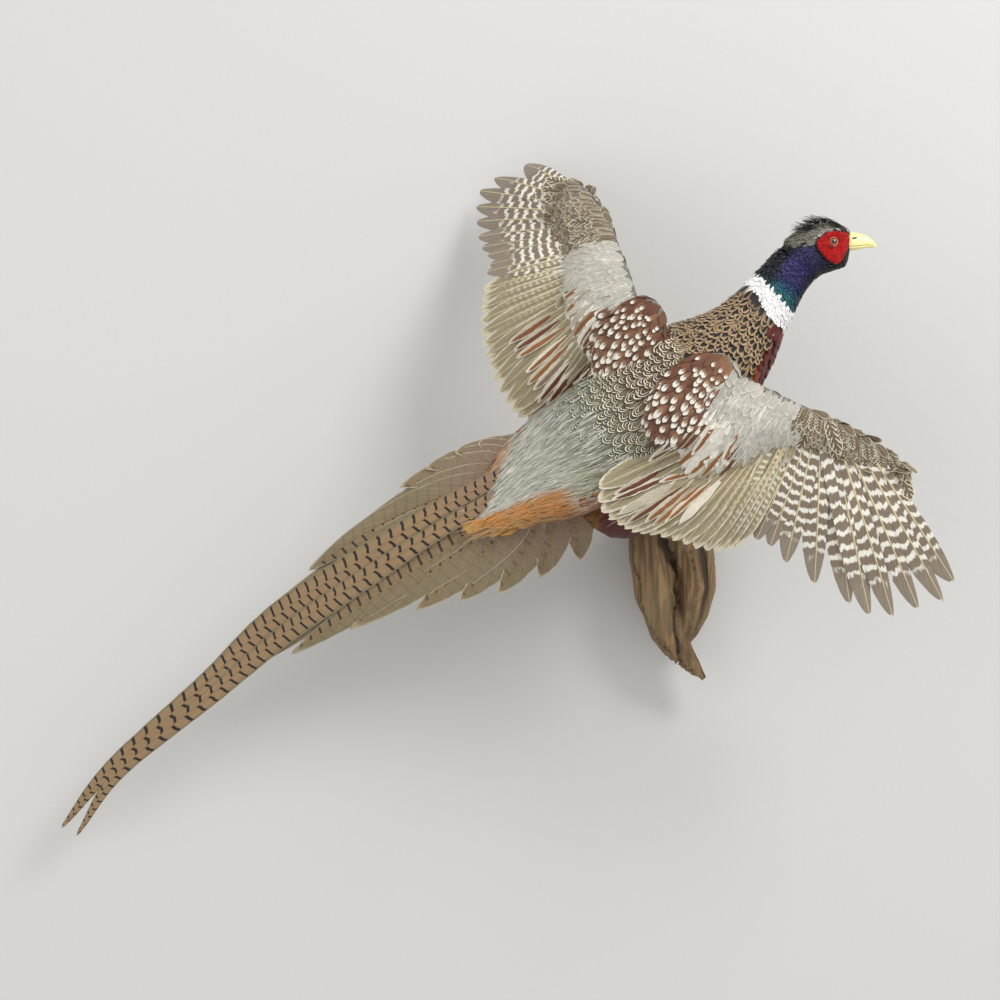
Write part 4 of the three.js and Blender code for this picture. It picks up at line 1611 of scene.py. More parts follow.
        def shades(run: Array, angle: Array) -> Colours:
            """Buff that darkens to black under the collar at the nape.

            Args:
                run: distances along the spine.
                angle: angles from the back.

            Returns:
                Their ground, mark and fringe.
            """
            near = eased(self.plumages.bands.collar(run, angle), -0.85, -0.10) * (0.75 - 0.5 * eased(
                np.abs(angle), 0.9, 1.5))
            ground = mixed(self.plumages.trunk(run, angle * 0.8), Colour.BLACK, near)
            return ground, colours(Colour.BLACK, len(run)), mixed(ground, Colour.CREAM, 0.30)

        self.grow(patch, shades, ring)

    def back(self) -> None:
        """Nested bows of cream and black down the back, greyer towards the rump."""
        upper = Patch("coat_back_upper", "barred_plumage", Plumage("back_scallop", Mark.SCALLOP),
                      start=0.205, stop=0.290, low=-1.8, high=1.8, row=0.0058, gap=0.0084, length=0.0190,
                      half=0.0060, lift=0.0048, vane=Vane(tip=0.55), stray=0.16)
        lower = Patch("coat_back_lower", "barred_plumage", Plumage("low_back_scallop", Mark.SCALLOP),
                      start=0.128, stop=0.210, low=-1.35, high=1.35, row=0.0060, gap=0.0084, length=0.0200,
                      half=0.0058, lift=0.0048, vane=Vane(tip=0.55), stray=0.22)
        shades = lambda run, angle: (self.plumages.trunk(run, angle * 0.7) * 0.8,
                                     colours(Colour.BLACK, len(run)), colours(Colour.CREAM, len(run)))
        self.grow(upper, shades)
        ragged = lambda run, angle, points: (run > 0.150 + 0.030 * eased(angle, -0.1, 0.7)
                                             + 0.010 * np.sin(run * 5e4))
        self.grow(lower, shades, ragged)

    def breast(self) -> None:
        """Glossy maroon feathers over the breast, amber where they meet the mantle."""
        patch = Patch("coat_breast", "neck_plumage",
                      Plumage("breast_copper", Mark.PLAIN, rough=0.42, metal=0.30, sheen=0.0), start=0.200,
                      stop=0.366, low=1.55, high=math.tau - 1.55, row=0.0066, gap=0.0088, length=0.0200,
                      half=0.0064, lift=0.0042, vane=Vane(tip=0.45))

        def shades(run: Array, angle: Array) -> Colours:
            """Maroon with dark fringes, amber by the mantle.

            Args:
                run: distances along the spine.
                angle: angles from the back.

            Returns:
                Their ground, mark and fringe.
            """
            near = 1 - eased(np.abs(np.abs(angle - math.pi) - 1.35), 0.1, 0.45)
            amber = near * (1 - eased(run, 0.312, 0.334))
            ground = mixed(Colour.BREAST, Colour.AMBER, amber * 0.8)
            return ground, mixed(ground, Colour.BREAST_DARK, 0.5), mixed(
                Colour.BREAST_DARK, ground, np.full(len(run), 0.25))

        edge = lambda run, angle, points: (np.abs(angle - math.pi) < math.pi - 1.62 - 0.25 * eased(
            run, 0.26, 0.35)) & (self.plumages.bands.collar(run, angle) < 0.05)
        self.grow(patch, shades, edge)

    def neck(self) -> None:
        """Small glossy feathers up the neck, with the white collar at their foot."""
        patch = Patch("coat_neck", "neck_plumage",
                      Plumage("neck_gloss", Mark.PLAIN, rough=0.36, metal=0.45, sheen=0.0, barbs=30),
                      start=0.352, stop=0.424, low=-math.pi, high=math.pi, row=0.0024, gap=0.0031,
                      length=0.0085, half=0.0021, lift=0.0026, vane=Vane(rows=4, tip=0.6))
        ring = Patch("coat_collar", "neck_plumage", Plumage("collar_white", Mark.PLAIN, rough=0.7, barbs=30),
                     start=0.350, stop=0.385, low=-math.pi, high=math.pi, row=0.0020, gap=0.0026,
                     length=0.0085, half=0.0021, lift=0.0030,
                     vane=Vane(rows=4, tip=0.5, point=0.6, fray=0.0), stray=0.03)

        def shades(run: Array, angle: Array) -> Colours:
            """The gloss, with dark fringes."""
            gloss = self.plumages.neck(run + 0.003, angle)
            return gloss, gloss, mixed(gloss, Colour.NAPE, 0.55)

        white = dyed(Colour.COLLAR, Colour.COLLAR, Colour.COLLAR)
        bands = self.plumages.bands
        self.grow(patch, shades, lambda r, a, p: (bands.collar(r, a) > 0.98) & ~Head.crowned(p))
        self.grow(ring, white, lambda r, a, p: (bands.collar(r, a) > 0.02) & (bands.collar(r, a) < 1.0))

    def rump(self) -> None:
        """Long loose hair-like feathers over the rump, grey above and orange at the sides."""
        under = Patch("coat_rump_under", "rump_plumage", Plumage("rump_soft"), start=0.010, stop=0.150,
                      low=-2.0, high=2.3, row=0.0070, gap=0.0080, length=0.0260, half=0.0050, lift=0.0036,
                      vane=Vane(tip=0.8, point=0.7, fray=0.12))
        hair = Patch("coat_rump_hair", "rump_plumage", Plumage("rump_hair", Mark.PLAIN, barbs=20),
                     start=0.002, stop=0.186, low=-2.1, high=2.4, row=0.0029, gap=0.0023, length=0.0340,
                     half=0.0006, lift=0.0054,
                     vane=Vane(rows=5, columns=2, tip=0.9, point=0.7, base=0.5, fray=0.0), turn=0.12)

        def shades(run: Array, angle: Array) -> Colours:
            """Blue-grey, turning to orange low on the sides near the tail.

            Args:
                run: distances along the spine.
                angle: angles from the back.

            Returns:
                Their ground, mark and fringe.
            """
            rng = np.random.default_rng(5)
            right = (1 - eased(run, 0.118, 0.138)) * eased(angle - 2.2 * run, 0.58, 0.76)
            left = 0.7 * (1 - eased(run, 0.075, 0.100)) * eased(-angle, 0.95, 1.2)
            low = np.maximum(np.maximum(right, left), 0.85 * (1 - eased(run, 0.002, 0.022)))
            bright = 0.55 + 0.45 * np.sin(run * 105 + 0.6) ** 2
            tawny = np.maximum(eased(np.abs(angle), 1.35, 1.6), 0.5 * (1 - eased(run, 0.004, 0.016)))
            ground = self.plumages.trunk(run, np.where(np.abs(angle) > 1.45, angle * 1.2, angle * 0.5))
            warm = mixed(mixed(Colour.TAWNY, Colour.ORANGE, bright), Colour.TAWNY, tawny)
            ground = mixed(ground, warm, low)
            pick = rng.random(len(run))
            ground = mixed(ground, Colour.RUMP_PALE, 0.75 * (pick > 0.60) * (1 - 0.8 * low))
            ground = mixed(ground, Colour.RUMP_DARK, 0.55 * (pick < 0.25) * (1 - 0.8 * low))
            return ground, ground, mixed(ground, Colour.RUMP_PALE, 0.15)

        self.grow(under, shades)
        self.grow(hair, shades)

    def flanks(self) -> None:
        """Coppery flanks, a dark belly and a tawny vent."""
        patch = Patch("coat_flanks", "barred_plumage", Plumage("flank_copper"), start=0.010, stop=0.212,
                      low=1.30, high=math.tau - 1.30, row=0.0085, gap=0.0120, length=0.0280, half=0.0085,
                      lift=0.0048, vane=Vane(tip=0.45, fray=0.1))

        def shades(run: Array, angle: Array) -> Colours:
            """Copper and tawny with dark ends.

            Args:
                run: distances along the spine.
                angle: angles from the back.

            Returns:
                Their ground, mark and fringe.
            """
            turned = np.maximum(np.abs((angle + math.pi) % math.tau - math.pi), 1.85)
            ground = self.plumages.trunk(run, turned)
            tips = mixed(ground, Colour.MAROON, 0.75 * eased(run, 0.08, 0.15))
            return ground, mixed(ground, Colour.CREAM, 0.2), tips

        self.grow(patch, shades)


# ------------------------------------------------------------------ the wings


@dataclass(frozen=True)
class WingPlan:
    """One wing's lines, in millimetres: its edges, its feathers' tips and where they grow."""

    leading: tuple
    trailing: tuple
    primary_tips: tuple
    secondary_tips: tuple
    primary_roots: tuple
    secondary_roots: tuple
    pad_at: tuple
    pad_along: tuple
    pad_across: tuple


WINGS = {
    Side.RIGHT: WingPlan(
        ((35, -290, 168), (63, -308, 179), (92, -318, 165), (123, -326, 149), (151, -328, 137),
         (186, -322, 119), (224, -312, 94)),
        ((0, -272, 103), (20, -282, 78), (62, -296, 86), (109, -310, 108), (143, -312, 100),
         (182, -309, 84), (223, -308, 86)),
        ((270, -296, -20), (260, -292, -38), (237, -290, -46), (213, -288, -53), (191, -288, -52),
         (172, -288, -41), (139, -286, -22), (112, -284, -2), (97, -282, 13), (84, -280, 19)),
        ((68, -278, 14), (49, -275, 8), (28, -271, 10), (6, -268, 18), (-17, -265, 24), (-35, -264, 27),
         (-50, -265, 35), (-66, -268, 49), (-66, -276, 76)),
        ((184, -320, 113), (157, -321, 120), (141, -320, 125), (124, -318, 130)),
        ((119, -318, 128), (98, -308, 116), (72, -298, 104), (44, -291, 103), (20, -292, 112)),
        (14, -306, 160), (-38, 12, -40), (18, -4, -19)),
    Side.LEFT: WingPlan(
        ((1, -245, 207), (-23, -234, 249), (-31, -222, 276), (-41, -205, 305), (-47, -188, 328),
         (-61, -160, 356), (-83, -122, 382)),
        ((-63, -205, 182), (-85, -192, 210), (-99, -180, 255), (-97, -174, 288), (-101, -152, 311),
         (-111, -122, 344), (-89, -114, 380)),
        ((-134, -14, 406), (-166, -18, 392), (-182, -25, 378), (-185, -30, 361), (-185, -38, 345),
         (-183, -58, 328), (-179, -80, 315), (-173, -98, 306), (-171, -112, 295), (-174, -120, 287)),
        ((-177, -124, 274), (-180, -128, 253), (-181, -132, 228), (-176, -137, 202), (-168, -142, 177),
         (-155, -147, 153), (-141, -152, 139), (-117, -160, 144), (-95, -169, 158)),
        ((-70, -140, 356), (-61, -158, 342), (-55, -174, 325), (-51, -186, 308)),
        ((-54, -193, 300), (-60, -199, 278), (-66, -202, 255), (-63, -207, 235), (-54, -212, 218)),
        (-36, -258, 207), (-33, 20, -34), (-14, 10, 34)),
}


@dataclass(frozen=True)
class Row:
    """One row of coverts along a wing, in metres and shares of the wing's span and chord."""

    chord: float
    inner: float
    outer: float
    gap: float
    length: float
    half: float
    lift: float


@dataclass
class Wing:
    """One wing: its flight feathers, coverts, lining and scapulars."""

    side: Side
    frame: dict
    coat: Coat
    maker: FeatherMaker
    primaries: int = 10
    secondaries: int = 17
    wrist: float = 0.5
    seed: int = 23

    def __post_init__(self) -> None:
        """Scales the wing's plan to metres and finds which way each feather lies."""
        plan = WINGS[self.side]
        self.leading, self.trailing = (np.array(edge) * MM for edge in (plan.leading, plan.trailing))
        share = lambda count: (np.arange(count) + 0.5) / count
        tips_p = np.array(plan.primary_tips) * MM
        roots_p = curve(np.array(plan.primary_roots) * MM, share(self.primaries))
        tips_s = curve(np.array(plan.secondary_tips) * MM, share(self.secondaries))
        roots_s = curve(np.array(plan.secondary_roots) * MM, share(self.secondaries))
        self.flight = {"primaries": (roots_p, tips_p), "secondaries": (roots_s, tips_s)}
        spans = np.concatenate([1 - (1 - self.wrist) * share(self.primaries),
                                self.wrist * (1 - share(self.secondaries))])
        ways = unit(np.concatenate([tips_p - roots_p, tips_s - roots_s]))
        order = np.argsort(spans)
        self.spans, self.ways = spans[order], ways[order]
        span = self.leading[-1] - self.leading[0]
        self.dorsal = unit(np.cross(span, self.trailing[2] - self.leading[2]))
        self.dorsal *= np.sign(self.dorsal @ VIEWER)
        self.outer_first = self.side is Side.RIGHT

    def name(self, part: str) -> str:
        """A piece's name on this wing."""
        return f"wing_{self.side.value}_{part}"

    def way(self, span: Array) -> Array:
        """The way that the flight feathers lie at each share of the span."""
        return unit(np.stack([np.interp(span, self.spans, self.ways[:, k]) for k in range(3)], -1))

    def build(self) -> None:
        """Grows all of the wing's feathers."""
        self.flight_feathers()
        self.coverts()
        self.lining()
        self.scapulars()

    def flight_feathers(self) -> None:
        """Builds the primaries and the secondaries, each feather on its own shaft."""
        kinds = (
            ("primaries",
             Plumage("primary_bars_" + self.side.value, Mark.BARRED, 0.4, barbs=150, sheen=0.05),
             Vane(rows=26, columns=8, tip=0.40, point=0.60, base=0.6, spread=0.12, camber=0.07, fray=0.012),
             Colour.PRIMARY, Colour.BAR, Colour.PRIMARY_PLAIN, 0.0150),
            ("secondaries",
             Plumage("secondary_chains_" + self.side.value, Mark.CHAIN, 0.36, barbs=130, sheen=0.05),
             Vane(rows=20, columns=8, tip=0.36, point=0.58, base=0.6, spread=0.15, camber=0.07, fray=0.012),
             Colour.SECONDARY, Colour.HAND, Colour.EDGE, 0.0134),
        )
        for part, finish, vane, ground, mark, fringe, half in kinds:
            roots, tips = self.flight[part]
            count = len(roots)
            node = self.frame["nodes"][self.name(part)]
            path, out = self.laid(tree_of(node), roots, tips, vane.spots())
            order = np.arange(count) / (count - 1)
            narrow = 0.42 + 0.3 * order if part == "primaries" else np.full(count, 0.72)
            webs = np.stack([narrow, np.ones(count)] if self.outer_first else [np.ones(count), narrow], -1)
            tilt = np.full(count, 0.075 * self.side.sign)
            wide = half * (1 + 0.25 * (order == 0))
            plumes = Plumes(path, out, wide, *(colours(shade, count) for shade in (ground, mark, fringe)),
                            columns(count), webs, tilt, {"barring": np.clip(1 - 2.6 * order, 0, 1)})
            item = self.maker.piece(self.name(part) + "_vanes", vane, plumes, finish, "flight_feathers",
                                    Quill(), 0.96 / count)
            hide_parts(self.name(part))

    def laid(self, plate: BVHTree, roots: Array, tips: Array, v: Array) -> tuple[Array, Array]:
        """Lays long shafts from their roots to their tips, through the plate that stands for them.

        Args:
            plate: the solid plate's faces.
            roots: where the shafts start.
            tips: where they end.
            v: how far along each row of points lies.

        Returns:
            The shafts' points and the unit vectors out of the plate.
        """
        path, out = [], []
        for root, tip in zip(roots, tips):
            knots = root + (tip - root) * np.linspace(0, 1, 7)[:, None]
            lean = settle(knots, plate, 0.05, 0.0007, 0.5)
            lean = lean if lean @ VIEWER > 0 else -lean
            knots[1:-1] = 0.5 * knots[1:-1] + 0.25 * (knots[:-2] + knots[2:])
            path.append(curve(knots, v))
            out.append(np.tile(lean, (len(v), 1)))
        return np.array(path), np.array(out)

    def grown(self, rows: Sequence[Row], vane: Vane, shades: Shades, under: bool = False,
              over: bool = False) -> Plumes:
        """Places rows of coverts.

        Args:
            rows: the rows, from the leading edge back.
            vane: the form that they share.
            shades: the ground, mark and fringe colours from shares of the span and chord.
            under: whether they line the wing's underside.
            over: whether they may also grow over the flight feathers.

        Returns:
            The feathers.
        """
        rng = np.random.default_rng(self.seed + len(rows) + int(under))
        base = self.carrier if over else self.coat.tree
        face = -self.dorsal if under else self.dorsal
        sets = []
        for index, row in enumerate(rows):
            line = curve(self.leading, np.linspace(row.inner, row.outer, 40))
            reach = float(np.linalg.norm(np.diff(line, axis=0), axis=1).sum())
            count = max(2, round(reach / row.gap))
            span = row.inner + (np.arange(count) + 0.5 * (index % 2) + 0.25) / count * (row.outer - row.inner)
            chord = row.chord + rng.normal(0, 0.012, count)
            front, back = curve(self.leading, span), curve(self.trailing, span)
            spots = front + (back - front) * chord[:, None]
            ways = unit(mixed(unit(back - front), self.way(span), 0.35 + 0.6 * chord))
            points, leans = cast(base, spots + face * 0.05, -face, 0.09)
            near = np.abs((points - spots) @ face) <= 0.03
            if not near.any():
                continue
            points, leans, span, chord, ways = (rows[near] for rows in (points, leans, span, chord, ways))
            count = len(points)
            length = row.length * rng.uniform(0.93, 1.07, count)
            ways = unit(ways + np.cross(ways, face) * rng.normal(0, 0.05, count)[:, None])
            v = vane.spots()
            rise = raised(row.lift, 0.1, v, rng.uniform(0.85, 1.15, (count, 1)))
            path, out = Ground(self.carrier, 0.005).follow(points, ways, length, v, rise, leans)
            ground, mark, fringe = shades(span, chord)
            dim = rng.uniform(0.9, 1.08, (count, 1))
            self.coat.sow(points, ways, ground, fringe, Part.LINING if under else Part.WING)
            if over:
                for step in range(1, len(v) - 2):
                    self.coat.sow(path[:, step], ways, ground, fringe)
            if under:
                hid = covered(self.carrier, path, self.dorsal, 0.05)
                path, out, ground, mark, fringe, dim, span, chord = (
                    part[hid] for part in (path, out, ground, mark, fringe, dim, span, chord))
                count = len(path)
            place = np.stack([span, chord / 1.6], -1)
            half = row.half * rng.uniform(0.92, 1.08, count)
            sets.append(Plumes(path, out, half, ground * dim, mark, fringe * dim, place))
        return Plumes.joined(sets)

    @cached_property
    def carrier(self) -> BVHTree:
        """What the coverts lie on: the skin and the plates of the flight feathers."""
        plates = (self.frame["nodes"][self.name(part)] for part in self.flight)
        return tree_of(self.coat.skin.item, *plates)

    def dress(self, part: str, rows: Sequence[Row], vane: Vane, shades: Shades, finish: Plumage,
              under: bool = False, over: bool = False) -> None:
        """Makes one piece out of rows of coverts.

        Args:
            part: the piece's name on this wing.
            rows: the rows, from the leading edge back.
            vane: the form that the feathers share.
            shades: their colours from shares of the span and chord.
            finish: their material.
            under: whether they line the wing's underside.
            over: whether they may also grow over the flight feathers.
        """
        plumes = self.grown(rows, vane, shades, under, over)
        if finish.mark is Mark.CHAIN:
            plumes.extra["barring"] = np.ones(len(plumes))
        self.maker.piece(self.name(part), vane, plumes, finish, "wing_coverts")

    def coverts(self) -> None:
        """The pale small coverts, the streaked inner ones, the mottled greater ones and the hand's."""
        side = self.side.value
        # painted shade: the small coverts darken near the body, where the scapulars shade them
        pale = lambda t, c: (mixed(Colour.COVERT, Colour.COVERT_DARK, 0.5 * (1 - eased(t, 0.1, 0.3))),
                             *(colours(Colour.COVERT_PALE, len(t)),) * 2)
        small = [Row(chord=c, inner=0.02 if c < 0.20 else 0.27, outer=0.54, gap=0.0048, length=0.032,
                     half=0.0031, lift=0.0024)
                 for c in np.arange(-0.07, 0.62, 0.066)]
        small.append(Row(chord=0.66, inner=0.28, outer=0.52, gap=0.0060, length=0.036, half=0.0042,
                         lift=0.0028))
        self.dress("small_coverts", small, Vane(rows=8, tip=0.65, point=0.7, camber=0.3, fray=0.03), pale,
                   Plumage("covert_silver_" + side, Mark.LACE, 0.75))

        def streaks(t: Array, c: Array) -> Colours:
            """Cream with chestnut near the body and gold further out.

            Args:
                t: shares of the wing's span.
                c: shares of its chord.

            Returns:
                Their ground, mark and fringe.
            """
            rng = np.random.default_rng(9)
            warm = mixed(Colour.CHESTNUT, Colour.GOLD, (t > 0.16) * rng.random(len(t)))
            pale = mixed(Colour.COVERT_PALE, Colour.EDGE, np.clip(c - 0.4, 0, 1))
            return pale, warm, colours(Colour.WHITE, len(t))

        inner = [Row(chord=c, inner=0.01, outer=0.36 - 0.2 * max(0.0, c - 0.8), gap=0.0074, length=0.060,
                     half=0.0043, lift=0.0034 - 0.0009 * c)
                 for c in (0.30, 0.54, 0.80, 1.08)]
        vane = Vane(rows=10, tip=0.45, point=0.65, camber=0.2)
        self.dress("inner_coverts", inner, vane, streaks, Plumage("covert_streak_" + side, Mark.STREAK, 0.45),
                   over=True)
        self.dress("greater_coverts", [Row(chord=0.80, inner=0.28, outer=0.53, gap=0.0080, length=0.044,
                                           half=0.0064, lift=0.0026)], vane,
                   dyed(Colour.SECONDARY, Colour.HAND, Colour.EDGE),
                   Plumage("covert_chain_" + side, Mark.CHAIN, 0.45), over=True)
        dark = dyed(Colour.HAND, Colour.BLACK, Colour.EDGE)
        hand = [Row(chord=c, inner=0.50, outer=0.99, gap=0.0066, length=0.019, half=0.0042,
                    lift=0.0022) for c in (-0.03, 0.08, 0.20, 0.32, 0.45)]
        self.dress("hand_coverts", hand, Vane(rows=7, tip=0.4, point=0.6, camber=0.2), dark,
                   Plumage("hand_lattice_" + side, Mark.LATTICE, 0.4))
        long = [Row(chord=0.52, inner=0.52, outer=0.99, gap=0.0100, length=0.042, half=0.0066, lift=0.0020),
                Row(chord=0.10, inner=0.54, outer=0.70, gap=0.0120, length=0.044, half=0.0062, lift=0.0032)]
        self.dress("hand_long_coverts", long, Vane(rows=10, tip=0.3, point=0.7, camber=0.15), dark,
                   Plumage("hand_chevron_" + side, Mark.LATTICE, 0.3))

    def lining(self) -> None:
        """Pale plain coverts under the wing."""
        rows = [Row(chord=c, inner=0.08, outer=0.97, gap=0.0105, length=0.030, half=0.0078, lift=0.0020)
                for c in (0.04, 0.20, 0.36, 0.52, 0.68, 0.86)]
        pale = dyed(Colour.LINING, Colour.LINING, Colour.COVERT_PALE)
        self.dress("lining", rows, Vane(rows=6, tip=0.45), pale,
                   Plumage("wing_lining_" + self.side.value), under=True)

    def scapulars(self) -> None:
        """Chestnut feathers with cream drops over the shoulder."""
        plan = WINGS[self.side]
        rng = np.random.default_rng(self.seed)
        middle, along, across = (np.array(p) * MM for p in (plan.pad_at, plan.pad_along, plan.pad_across))
        face = unit(np.cross(along, across))
        face *= np.sign(face @ VIEWER)
        rows, gap = 18, 0.0080
        spots, ways, place, size = [], [], [], []
        for row in range(rows):
            a = -1.30 + 2.40 * (row / (rows - 1)) ** 1.4
            reach = math.sqrt(max(0.30, 1 - (a * 0.93) ** 2)) * 1.10
            scale = float(np.interp(a, (-1.3, -0.9, -0.1), (0.36, 0.60, 1.0)))
            count = max(2, round(2 * reach * float(np.linalg.norm(across)) / gap / scale))
            for k in range(count):
                b = (-1 + 2 * (k + 0.25 + 0.5 * (row % 2)) / count) * reach + rng.normal(0, 0.04)
                spots.append(middle + along * (a + rng.normal(0, 0.025)) + across * b + face * 0.06)
                ways.append(along + across * (0.28 * b) + face * (0.02 if a < -0.9 else 0.0))
                place.append(((a + 1.3) / 2.4, (b + 1.2) / 2.4))
                size.append(scale)
        points, leans = cast(self.coat.tree, np.array(spots), -face, 0.12)
        met = np.flatnonzero(~np.isnan(points[:, 0]))
        met = met[self.coat.skin.nearest_group(points[met]) == Part.WING]
        points, leans, ways, place, size = (np.array(rows)[met]
                                            for rows in (points, leans, ways, place, size))
        count = len(points)
        vane = Vane(rows=8, columns=6, tip=0.5, camber=0.28)
        v = vane.spots()
        rise = raised(0.0040, 0.1, v, rng.uniform(0.85, 1.15, (count, 1)) * size[:, None])
        length = 0.0240 * rng.uniform(0.88, 1.12, count) * size
        ways = unit(unit(ways) + rng.normal(0, 0.08, (count, 3)))
        path, out = Ground(self.carrier).follow(points, ways, length, v, rise, leans)
        dim = rng.uniform(0.88, 1.1, (count, 1))
        warm = mixed(Colour.CHESTNUT, Colour.SCAPULAR, rng.uniform(0, 1, count))
        black = colours(Colour.BLACK, count)
        self.coat.sow(points, ways, warm, black)
        plumes = Plumes(path, out, 0.0068 * rng.uniform(0.9, 1.1, count) * size, warm * dim, black,
                        colours(Colour.WHITE, count), place)
        self.maker.piece(self.name("scapular_drops"), vane, plumes,
                         Plumage("scapular_drop_" + self.side.value, Mark.DROP), "scapular_plumage")


# ------------------------------------------------------------------ the tail


@dataclass
class Tail:
    """Eighteen stepped tail feathers: a long middle pair and a fan on each side."""

    frame: dict
    maker: FeatherMaker
    half: float = 0.0128

    CENTRE = {
        Side.LEFT: ((-153, -197, 85), (-229, -181, 43), (-318, -154, -14), (-390, -130, -63),
                    (-459, -106, -129), (-557, -76, -215), (-610, -60, -278)),
        Side.RIGHT: ((-143, -197, 73), (-219, -181, 30), (-308, -154, -28), (-378, -130, -77),
                     (-451, -106, -138), (-550, -76, -220), (-595, -60, -286)),
    }
    ROOTS = {
        Side.LEFT: ((-150, -190, 74), (-145, -187, 86), (-141, -182, 95), (-137, -176, 104)),
        Side.RIGHT: ((-138, -190, 62), (-126, -189, 60), (-112, -187, 63), (-98, -184, 70)),
    }
    TIPS = {
        Side.LEFT: ((-480, -90, -143), (-354, -112, -14), (-309, -125, 22), (-261, -134, 70),
                    (-235, -138, 89), (-206, -142, 105), (-183, -146, 113), (-161, -150, 117)),
        Side.RIGHT: ((-485, -92, -151), (-371, -119, -98), (-311, -136, -72), (-245, -150, -53),
                     (-202, -158, -44), (-163, -164, -36), (-122, -170, -20), (-82, -175, -3)),
    }

    def build(self) -> None:
        """Builds the fans and then the middle pair over them."""
        for side in Side:
            self.fan(side)
            self.middle(side)

    def middle(self, side: Side) -> None:
        """One long middle feather, boldly barred.

        Args:
            side: the bird's right or left.
        """
        vane = Vane(rows=70, columns=8, tip=0.75, point=0.62, base=0.6, camber=0.10, fray=0.012)
        path = curve(np.array(self.CENTRE[side]) * MM, vane.spots())[None]
        away = unit(path[0, -1] - path[0, 0])
        out = np.broadcast_to(unit(VIEWER - away * (away @ VIEWER)), path.shape)
        inner = 0.75 if side is Side.RIGHT else 1.0
        one = np.ones(1)
        plumes = Plumes(path, out, np.array([self.half]), colours(Colour.TAIL, 1), colours(Colour.BLACK, 1),
                        colours(Colour.TAIL_OLIVE, 1), np.zeros((1, 2)), np.array([[1.0, inner]]),
                        np.array([0.05]),
                        {"barring": one, "specks": 0.12 * one, "outer": 0 * one, "edging": 0 * one})
        item = self.maker.piece(f"tail_centre_{side.value}_vane", vane, plumes,
                                Plumage("tail_bars_centre_" + side.value, Mark.TAIL, barbs=420, sheen=0.05),
                                "tail_feathers", Quill(0.0008, 0.0004, Colour.TAIL_SHAFT), 0.98)
        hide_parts(f"tail_centre_{side.value}")

    def fan(self, side: Side) -> None:
        """Eight side feathers, each stepping under the last.

        Args:
            side: the bird's right or left.
        """
        vane = Vane(rows=26, columns=8, tip=0.70, point=0.75, base=0.5, spread=0.3, camber=0.06, fray=0.012)
        tips = np.array(self.TIPS[side]) * MM
        count = len(tips)
        roots = curve(np.array(self.ROOTS[side]) * MM, (np.arange(count) + 0.5) / count)
        plate = tree_of(self.frame["nodes"][f"tail_side_{side.value}"])
        order = np.arange(count) / (count - 1)
        bows = 0.05 + 0.03 * order if side is Side.LEFT else 0.02 - 0.10 * order
        path, out = [], []
        for root, tip, bow in zip(roots, tips, bows):
            share = np.linspace(0, 1, 6)
            away = tip - root
            knots = root + away * share[:, None]
            beside = unit(np.cross(away, VIEWER))
            knots += beside * (bow * np.linalg.norm(away) * np.sin(math.pi * share))[:, None]
            lean = settle(knots, plate, 0.06, 0.0008, 1.0)
            path.append(curve(knots, vane.spots()))
            out.append(np.tile(lean, (vane.rows + 1, 1)))
        shade = mixed(Colour.TAIL, Colour.TAIL_OLIVE, 0.4 + 0.6 * order)
        webs = np.tile((1.0, 0.85) if side is Side.RIGHT else (0.85, 1.0), (count, 1))
        plumes = Plumes(np.array(path), np.array(out), np.full(count, 0.0190), shade,
                        colours(Colour.BLACK, count), colours(Colour.KHAKI, count), columns(count), webs,
                        np.full(count, 0.07 * side.sign),
                        {"barring": 1 - 0.8 * order, "specks": 0.3 + 0.6 * order,
                         "outer": np.full(count, side.sign), "edging": 0.25 + 0.4 * order})
        item = self.maker.piece(f"tail_side_{side.value}_vanes", vane, plumes,
                                Plumage("tail_bars_side_" + side.value, Mark.TAIL, 0.7, barbs=200,
                                        sheen=0.05),
                                "tail_feathers", Quill(0.0007, 0.0003, Colour.TAIL_SHAFT), 0.96 / count)
        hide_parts(f"tail_side_{side.value}")


# ------------------------------------------------------------------ the head


def walls(low: Array, high: Array) -> Array:
    """The triangles between rings of points and the rings after them."""
    a, b, c, d = low, np.roll(low, -1, axis=1), np.roll(high, -1, axis=1), high
    return np.concatenate([np.stack(corners, -1).reshape(-1, 3) for corners in ((a, b, c), (a, c, d))])


def lofted(name: str, rings: Array) -> bpy.types.Object:
    """A closed tube through rings of points, with flat ends.

    Args:
        name: the object's name.
        rings: ring by ring, the points in order round each.

    Returns:
        The object, its faces out.
    """
    count, around = rings.shape[:2]
    index = np.arange(count * around).reshape(count, around)
    ends = [[count * around, index[0, (k + 1) % around], index[0, k]] for k in range(around)]
    ends += [[count * around + 1, index[-1, k], index[-1, (k + 1) % around]] for k in range(around)]
    points = np.concatenate([rings.reshape(-1, 3), rings[0].mean(0)[None], rings[-1].mean(0)[None]])
    item = new_mesh(name, points, np.concatenate([walls(index[:-1], index[1:]), ends]))
    edited(item, bpy.ops.mesh.normals_make_consistent, inside=False)
    return item


